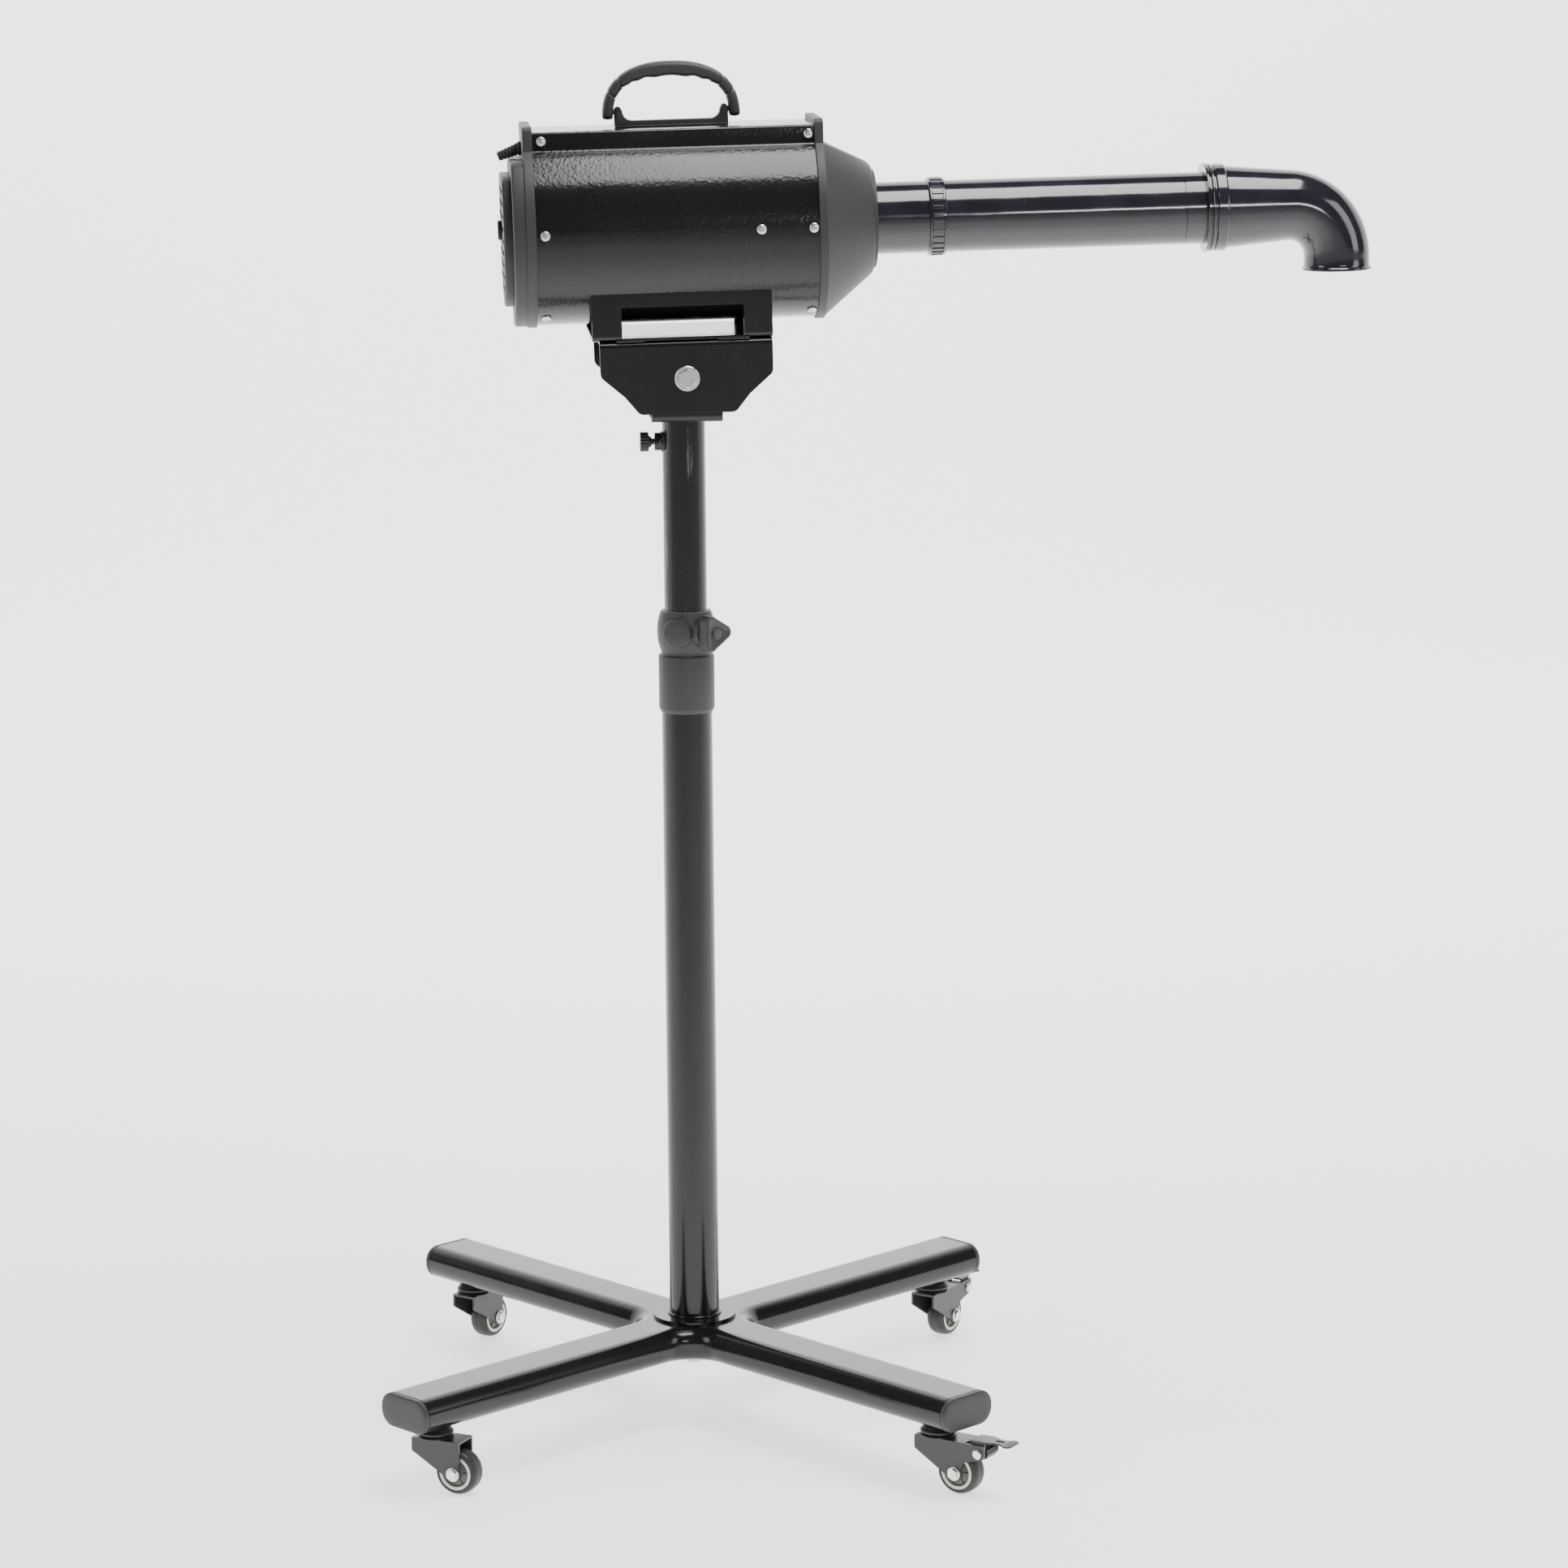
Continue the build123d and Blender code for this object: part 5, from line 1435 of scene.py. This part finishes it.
def loft(name, rings, sides):
    """Skin a row of circles given as (centre, direction, radius)."""
    start_clean()
    for number, (centre, direction, radius) in enumerate(rings):
        way = Vector(direction)
        add_hoop(name, number, sides, radius, centre, (SIDEWAYS, way.cross(SIDEWAYS), way))
        bridge_hoops(number, sides)
    return finish_loft()


class DRYER_OT_nozzle(bpy.types.Operator):
    """Base tube, ribbed lock ring, long tube and the swivel elbow"""
    bl_idname = "dryer.nozzle"
    bl_label = "Nozzle"

    def tubes(self, steps):
        """Flanged base tube, and the long tube with a fine groove round it."""
        root, end = (corner.x for corner in extent("nozzle_base", HEAD))
        low, high = extent("nozzle_tube", HEAD)
        radius, step = high.y, root + 2 * MM
        inside, flange_r = radius - 2 * MM, radius + 9 * MM
        base_line = [(inside, root), (flange_r, root), (flange_r, step), (radius, step), (radius, end),
                     (inside, end)]
        seam, groove_r = 443.6 * MM, radius - 0.45 * MM
        groove = [(radius, seam - 0.6 * MM), (groove_r, seam - 0.3 * MM), (groove_r, seam + 0.3 * MM),
                  (radius, seam + 0.6 * MM)]
        tube_line = [(inside, low.x), (radius, low.x), *groove, (radius, high.x - 0.5 * MM),
                     (radius - 0.5 * MM, high.x), (inside, high.x)]
        for name, line, node in (("nozzle_root", base_line, "nozzle_base"),
                                 ("nozzle_barrel", tube_line, "nozzle_tube")):
            tube = smooth_off(turned(name, line, steps), 30)
            settle(tube, ALONG_X)
            fit(tube, "head", "nozzle", [node], HEAD)

    def ring(self, ribs, steps):
        """A band with a rolled lip at each end and ribs between them."""
        low, high = extent("lock_ring", HEAD)
        width, radius = (high.x - low.x) / MM, high.y / MM
        inside = extent("nozzle_tube", HEAD)[1].y / MM + 0.3
        lip = [(radius - 1, 0), (radius - 0.3, 0.35), (radius, 1), (radius, 2.4), (radius - 0.9, 2.9)]
        line = [(inside, 0), *lip, *[(r, width - up) for r, up in reversed(lip)], (inside, width)]
        ring = lathe("lock_band", line, steps, 30)
        rib = block("rib", mm(radius - 1.2, -1.5, 2.6), mm(radius - 0.02, 1.5, width - 2.6))
        soften(rib, 0.55 * MM, 3)
        copies = [copy_of(rib, "rib_copy", Matrix.Rotation(2 * pi * n / ribs, 4, "Z")) for n in range(ribs)]
        discard(rib)
        ring = joined(ring, *copies)
        settle(ring, shift(low.x, 0, 0) @ ALONG_X)
        fit(ring, "nozzle_ring", "nozzle", ["lock_ring"], HEAD)

    def elbow(self, steps):
        """Ribbed collar and a bent tube that tapers to its lip."""
        low, high = extent("elbow", HEAD)
        x0, top = low.x / MM, high.y / MM
        x1, bore = x0 + 18.5, 31.8
        line = [(bore, x0), (top - 0.5, x0), (top, x0 + 0.5), (top, x0 + 1.9), (top - 0.5, x0 + 2.4),
                (top - 2.8, x0 + 2.9), (top - 2.8, x0 + 4.0), (top - 1.0, x0 + 4.5), (top - 0.6, x0 + 5.0),
                (top - 0.6, x0 + 6.2), (top - 1.1, x0 + 6.8), (top - 2.5, x0 + 7.2), (top - 2.5, x0 + 8.2),
                (top - 1.2, x0 + 8.7), (top - 0.8, x0 + 9.4), (top - 0.8, x1 - 1.4), (top - 1.4, x1 - 0.4),
                (top - 2.6, x1), (bore, x1)]
        collar = lathe("elbow_collar", line, steps, 28)
        settle(collar, ALONG_X)
        bend_r, start, wide_r, neck_r, mouth_r = 45.0, 536.0, 36.4, 31.2, 29.0
        straight_steps, bend_steps = 16, 24
        rings = []
        for n in range(straight_steps + 1):
            t = n / straight_steps
            radius = wide_r + (neck_r - wide_r) * t
            rings.append((mm(x1 - 1 + (start - x1 + 1) * t, 0, 0), (1, 0, 0), radius * MM))
        for n in range(1, bend_steps + 1):
            a = radians(90 * n / bend_steps)
            centre = mm(start + bend_r * sin(a), 0, -bend_r + bend_r * cos(a))
            radius = mouth_r + (neck_r - mouth_r) * (1 - n / bend_steps) ** 1.6
            rings.append((centre, (cos(a), 0, -sin(a)), radius * MM))
        lip = ((52.5, 0), (54.4, 0.2), (55.2, 1.0), (55.7, 1.7), (56.6, 1.8), (57.4, 1.7), (57.8, 1.2))
        for drop, swell in lip:
            rings.append((mm(start + bend_r, 0, -drop), (0, 0, -1), (mouth_r + swell) * MM))
        bend = loft("elbow_bend", rings, steps)
        modify(bend, "SOLIDIFY", thickness=2.0 * MM, offset=-1, use_even_offset=True)
        smooth_off(bend, 40)
        fit(joined(bend, collar), "outlet_elbow", "nozzle", ["elbow"], HEAD)

    def execute(self, context):
        sizes = context.scene.dryer_sizes
        self.tubes(sizes.facets)
        self.ring(sizes.ring_ribs, sizes.facets)
        self.elbow(sizes.facets)
        return {"FINISHED"}


# ---- carry handle
class DRYER_OT_handle(bpy.types.Operator):
    """Handle base with its two posts, and the moulded grip with finger scallops"""
    bl_idname = "dryer.handle"
    bl_label = "Carry handle"

    def base(self, middle, lid, pin_up, post):
        """Bar with an upright post at each end, on a rounded foot."""
        low, bar, y = lid + 0.05, lid + 5.6, 5.5
        top = pin_up + 4.4
        right = [(post + 3, low + 0.6), (post + 3, pin_up + 1)]
        right += arc((post - 0.2, top - 3), 3.0, 10, 170, 6)
        right += arc((post - 12.5, bar + 8.5), 8.5, 0, -90, 8)
        outline = right + [(-x, z) for x, z in reversed(right)]
        frame_bar = plate("handle_base", upright(in_mm(outline), -y * MM), mm(0, 2 * y, 0))
        soften(frame_bar, 0.8 * MM, 3, 40)
        foot = block("foot", mm(-post - 2.9, -10.9, low), mm(post + 2.9, 10.9, low + 1.6))
        bevel_edges(foot, lambda e: run(e, 2) > MM, 4 * MM, 5)
        soften(foot, 0.6 * MM, 2, 40)
        combine(frame_bar, "UNION", foot)
        rivets = []
        for side, way in ((-1, NEAR_WAY), (1, AXLE_WAY)):
            rivet = lathe("rivet", [(0, 0), (2.2, 0), (2.0, 0.35), (0.9, 0.45), (0, 0.45)], 24)
            settle(rivet, shift(*mm(0, side * (y - 0.05), low + 3)) @ way)
            rivets.append(rivet)
        base = joined(smooth_off(frame_bar, 32), *rivets)
        settle(base, shift(middle * MM, 0, 0))
        return base

    def stations(self, low, high, post):
        """Centre line, across direction and half sizes of the grip, from one hooked end to the other."""
        reach, foot, top = high.x, low.z, high.z
        inner_reach = (post + 4.0) * MM
        inner_top = top - 12.8 * MM
        seams = (0.135, 0.235, 0.765, 0.865)
        steps = 56
        turns = [n / steps for n in range(steps + 1)
                 if all(abs(n / steps - seam) > 0.012 for seam in seams)]
        turns += [seam + step for seam in seams for step in (-0.007, -0.004, 0.004, 0.007)]
        made = []
        for turn in sorted(turns):
            c, s = -cos(pi * turn), sin(pi * turn)
            side = 1 if c > 0 else -1
            outer = Vector((reach * side * abs(c) ** 0.86, 0, foot + (top - foot) * s ** 0.80))
            inner = Vector((inner_reach * side * abs(c) ** 0.70, 0, foot + (inner_top - foot) * s ** 0.78))
            if abs(turn - 0.5) < 0.23:
                inner.z -= 1.5 * MM * (0.5 - 0.5 * cos(2 * pi * (turn - 0.5) / 0.092))
            middle, thick = (outer + inner) / 2, (outer - inner).length / 2
            width = (10.9 if seams[1] < turn < seams[2] else 10.0) * MM
            if any(abs(turn - seam) < 0.005 for seam in seams):
                thick, width = thick - 0.8 * MM, width - 0.8 * MM
            made.append((middle, (outer - inner).normalized(), thick, width))
        return made

    def grip(self, low, high, post):
        """Skin the stations and close both ends."""
        corners = 20
        made = self.stations(low, high, post)
        start_clean()
        for number, (middle, across, thick, width) in enumerate(made):
            axes = (across, SIDEWAYS, across.cross(SIDEWAYS))
            add_hoop("handle_grip_moulding", number, corners, 1, middle, axes)
            self.square_off(number * corners, middle, across, thick, width)
            bridge_hoops(number, corners)
        last = (len(made) - 1) * corners
        for end_ring in (lambda v: v.index < corners, lambda v: v.index >= last):
            pick(end_ring)
            bpy.ops.mesh.edge_face_add()
        grip = finish_loft()
        modify(grip, "SUBSURF", levels=1, render_levels=1)
        return smooth_off(grip, 50)

    def square_off(self, first, middle, across, thick, width):
        """Push the last ring out into the grip's rounded-square section."""
        mesh = bpy.context.edit_object.data
        work = bmesh.from_edit_mesh(mesh)
        squareness = 0.62
        for vertex in work.verts:
            if vertex.index < first:
                continue
            out = vertex.co - middle
            a, b = (copysign(abs(reach) ** squareness, reach)
                    for reach in (out.dot(across), out.dot(SIDEWAYS)))
            vertex.co = middle + across * a * thick + SIDEWAYS * b * width
        bmesh.update_edit_mesh(mesh)

    def execute(self, context):
        low, high = extent("handle_grip", HEAD)
        middle = (low.x + high.x) / 2
        low.x, high.x = low.x - middle, high.x - middle
        lid = extent("control_box", HEAD)[1].z / MM
        pin_up = head_spot("handle_fold").z / MM
        post, pin_out = 46.5, 50 * MM
        base = self.base(middle / MM, lid, pin_up, post)
        fit(base, "head", "grip", ["handle_base"], HEAD)
        grip = self.grip(low, high, post)
        settle(grip, shift(middle, 0, 0))
        fit(grip, "carry_grip", "grip", ["handle_grip"], HEAD)
        for side, name in ((-1, "rear"), (1, "front")):
            pin = lathe("pin", [(0, -6.6), (2.1, -6.6), (2.45, -6.2), (2.45, 6.2), (2.1, 6.6),
                                (0, 6.6)], 28)
            settle(pin, shift(middle + side * pin_out, 0, pin_up * MM) @ ALONG_X)
            fit(pin, "head", "steel", ["handle_pins"], HEAD)
            pin.name = f"handle_pin_{name}"
        return {"FINISHED"}


class DRYER_OT_switches(bpy.types.Operator):
    """Rockers, bezels and the ribbed speed dial on the far wall"""
    bl_idname = "dryer.switches"
    bl_label = "Switches"

    def execute(self, context):
        spot = head_spot("speed_dial_turn")
        height = extent("speed_knob", HEAD)[1].y - spot.y - 0.4 * MM
        knob = ribbed_disc("speed_dial_cap", 6.8 * MM, 0.45 * MM, 24, height)
        soften(knob, 0.5 * MM, 2, 60, 50)
        pointer = block("pointer", (-0.45 * MM, 0.8 * MM, height - 0.3 * MM),
                        (0.45 * MM, 6 * MM, height + 0.1 * MM))
        soften(pointer, 0.15 * MM, 2)
        spindle = rod("spindle", 2.9 * MM, (0, 0, -8 * MM), (0, 0, MM), 28)
        joined(knob, pointer, smooth_off(spindle))
        place = HEAD @ shift(spot.x, spot.y + 0.3 * MM, spot.z) @ AXLE_WAY
        fit(knob, "speed_dial", "black_plastic", ["speed_knob"], place)
        for name in ("power", "heat"):
            x, back, z = head_spot(f"{name}_rocker_tip") / MM
            half, ends, dip, steps = 7.3, 48.6, 47.2, 12
            top = [(x - half + 2 * half * n / steps, dip + (ends - dip) * (2 * n / steps - 1) ** 2)
                   for n in range(steps + 1)]
            line = [mm(a, b, z - 4.4) for a, b in [(x + half, back), (x - half, back), *top]]
            cap = plate(f"{name}_rocker_cap", line, mm(0, 0, 8.8))
            soften(cap, 0.35 * MM, 2, 40)
            bars = block("mark", mm(x - 5.2, dip + 0.2, z - 1.4), mm(x - 4.7, ends - 0.25, z + 1.4))
            fit(joined(cap, bars), f"{name}_switch", "black_plastic", [f"{name}_rocker"], HEAD)
            bezel = block(f"{name}_bezel", mm(x - 10.8, 46, z - 7), mm(x + 10.8, 47.2, z + 7))
            hole = block("hole", mm(x - 8.3, 30, z - 4.9), mm(x + 8.3, 60, z + 4.9))
            cut(bezel, hole)
            soften(bezel, 0.4 * MM, 2)
            fit(bezel, "head", "black_plastic", ["switch_frames"], HEAD)
        return {"FINISHED"}


PIECE_STEPS = [DRYER_OT_legs, DRYER_OT_hub_fittings, DRYER_OT_castors, DRYER_OT_mast, DRYER_OT_clamp,
               DRYER_OT_yoke, DRYER_OT_bracket, DRYER_OT_body, DRYER_OT_rear_cap, DRYER_OT_front_cone,
               DRYER_OT_nozzle, DRYER_OT_handle, DRYER_OT_switches]


# ---- the stage
def lamp(name, place, aim, size, power, colour=(1, 1, 1)):
    """A soft rectangular light that faces a point."""
    start_clean()
    bpy.ops.object.light_add(type="AREA", location=place)
    made = bpy.context.active_object
    made.name = name
    made.rotation_euler = (Vector(aim) - Vector(place)).to_track_quat("-Z", "Y").to_euler()
    made.data.shape = "RECTANGLE"
    made.data.size, made.data.size_y = size
    made.data.energy = power
    made.data.color = colour
    return made


def stage_finish():
    """Matt pale paper with the faintest grain, and a painted glow that is dim in front of the dryer and
    full behind it.
    """
    made = Finish("studio_paper", (0.90, 0.90, 0.90), 0.7, specular=0.2)
    grain = made.noise(40, 2)
    made.set("Base Color", made.tint((0.90, 0.90, 0.90, 1), (0.93, 0.93, 0.93, 1), grain))
    depth = made.node("SeparateXYZ", {}, {"Vector": made.where}, 1)
    # Painted glow: the paper's emission colour is dark grey in front of the dryer and rises to white behind
    # it.
    made.set("Emission Color", made.tint((0.3, 0.3, 0.3, 1), (1, 1, 1, 1), depth.above(-1.0, 1.0)))
    made.set("Emission Strength", 1.3)
    return made.material


def cyclorama():
    """One sheet of paper: floor, a wide curve, and a wall behind."""
    half, front, back, curve, high = 22.0, -24.0, 3.6, 1.6, 8.0
    profile = [(front, 0), *arc((back, curve), curve, -90, 0, 12), (back + curve, high)]
    paper = draw_out(trace("studio_paper", crosswise(profile, -half), closed=False), (2 * half, 0, 0))
    smooth_off(paper, 60)
    paper.data.materials.append(stage_finish())
    return paper


def make_world():
    """Even, dim studio air."""
    world = bpy.data.worlds.new("studio_air")
    bpy.context.scene.world = world
    world.use_nodes = True
    air = world.node_tree.nodes["Background"].inputs
    air["Color"].default_value = (1, 1, 1, 1)
    air["Strength"].default_value = 0.08


def make_camera():
    """Product camera: a long lens a little above the head, looking slightly down and to the right."""
    pan, tip, roll = (radians(angle) for angle in (-4.5, 79.306, -0.514))
    start_clean()
    bpy.ops.object.camera_add(location=(-0.2576, -4.3642, 1.407))
    camera = bpy.context.active_object
    camera.name = "product_camera"
    turn = Matrix.Rotation(pan, 4, "Z") @ Matrix.Rotation(tip, 4, "X") @ Matrix.Rotation(roll, 4, "Z")
    camera.rotation_euler = turn.to_euler()
    camera.data.sensor_width = 36
    camera.data.lens = 114.54
    camera.data.clip_end = 60
    bpy.context.scene.camera = camera


class DRYER_OT_stage(bpy.types.Operator):
    """Set the pale floor, the soft lights and the camera"""
    bl_idname = "dryer.stage"
    bl_label = "Stage"

    def execute(self, context):
        make_world()
        cyclorama()
        lamp("top_softbox", (0.6, -0.5, 2.95), (0.6, -0.45, 0.9), (1.35, 1.4), 70)
        lamp("front_strip", (1.35, -3.5, 1.56), (0.45, 0, 1.08), (1.3, 0.2), 22, (0.95, 0.97, 1.0))
        lamp("left_softbox", (-3.2, -1.6, 2.2), (0, 0, 0.8), (1.4, 2.2), 38)
        lamp("right_softbox", (3.2, -1.4, 2.0), (0.2, 0, 0.8), (1.2, 2.2), 30)
        lamp("paper_wash", (0, 1.6, 3.4), (0, 5.2, 1.6), (6.0, 1.2), 260)
        make_camera()
        return {"FINISHED"}


class DRYER_OT_frame_finishes(bpy.types.Operator):
    """Paint the frame's own pieces"""
    bl_idname = "dryer.frame_finishes"
    bl_label = "Frame finishes"

    def execute(self, context):
        for node, piece in frame["nodes"].items():
            kind = CAD_FINISHES.get(node) or CASTOR_FINISHES[node.split("_")[0]]
            piece.data.materials.clear()
            piece.data.materials.append(finish(kind))
        return {"FINISHED"}


class DRYER_PT_panel(bpy.types.Panel):
    """Lists the sizes, the colours and the pieces of the dryer"""
    bl_idname = "DRYER_PT_panel"
    bl_label = "Stand Dryer"
    bl_space_type = "VIEW_3D"
    bl_region_type = "UI"
    bl_category = "Stand Dryer"

    def draw(self, context):
        for settings in (context.scene.dryer_sizes, context.scene.dryer_colours):
            box = self.layout.box()
            for key in settings.__annotations__:
                box.prop(settings, key)
        for step in STEPS:
            self.layout.operator(step.bl_idname)


STEPS = [DRYER_OT_frame_finishes, *PIECE_STEPS, DRYER_OT_stage]
CLASSES = (DryerSizes, DryerColours, *STEPS, DRYER_PT_panel)


def register():
    for kind in CLASSES:
        bpy.utils.register_class(kind)
    bpy.types.Scene.dryer_sizes = bpy.props.PointerProperty(type=DryerSizes)
    bpy.types.Scene.dryer_colours = bpy.props.PointerProperty(type=DryerColours)


def unregister():
    del bpy.types.Scene.dryer_colours
    del bpy.types.Scene.dryer_sizes
    for kind in reversed(CLASSES):
        bpy.utils.unregister_class(kind)


def main():
    register()
    for step in STEPS:
        group, name = step.bl_idname.split(".")
        getattr(getattr(bpy.ops, group), name)()
    start_clean()


if __name__ == "__main__":
    main()
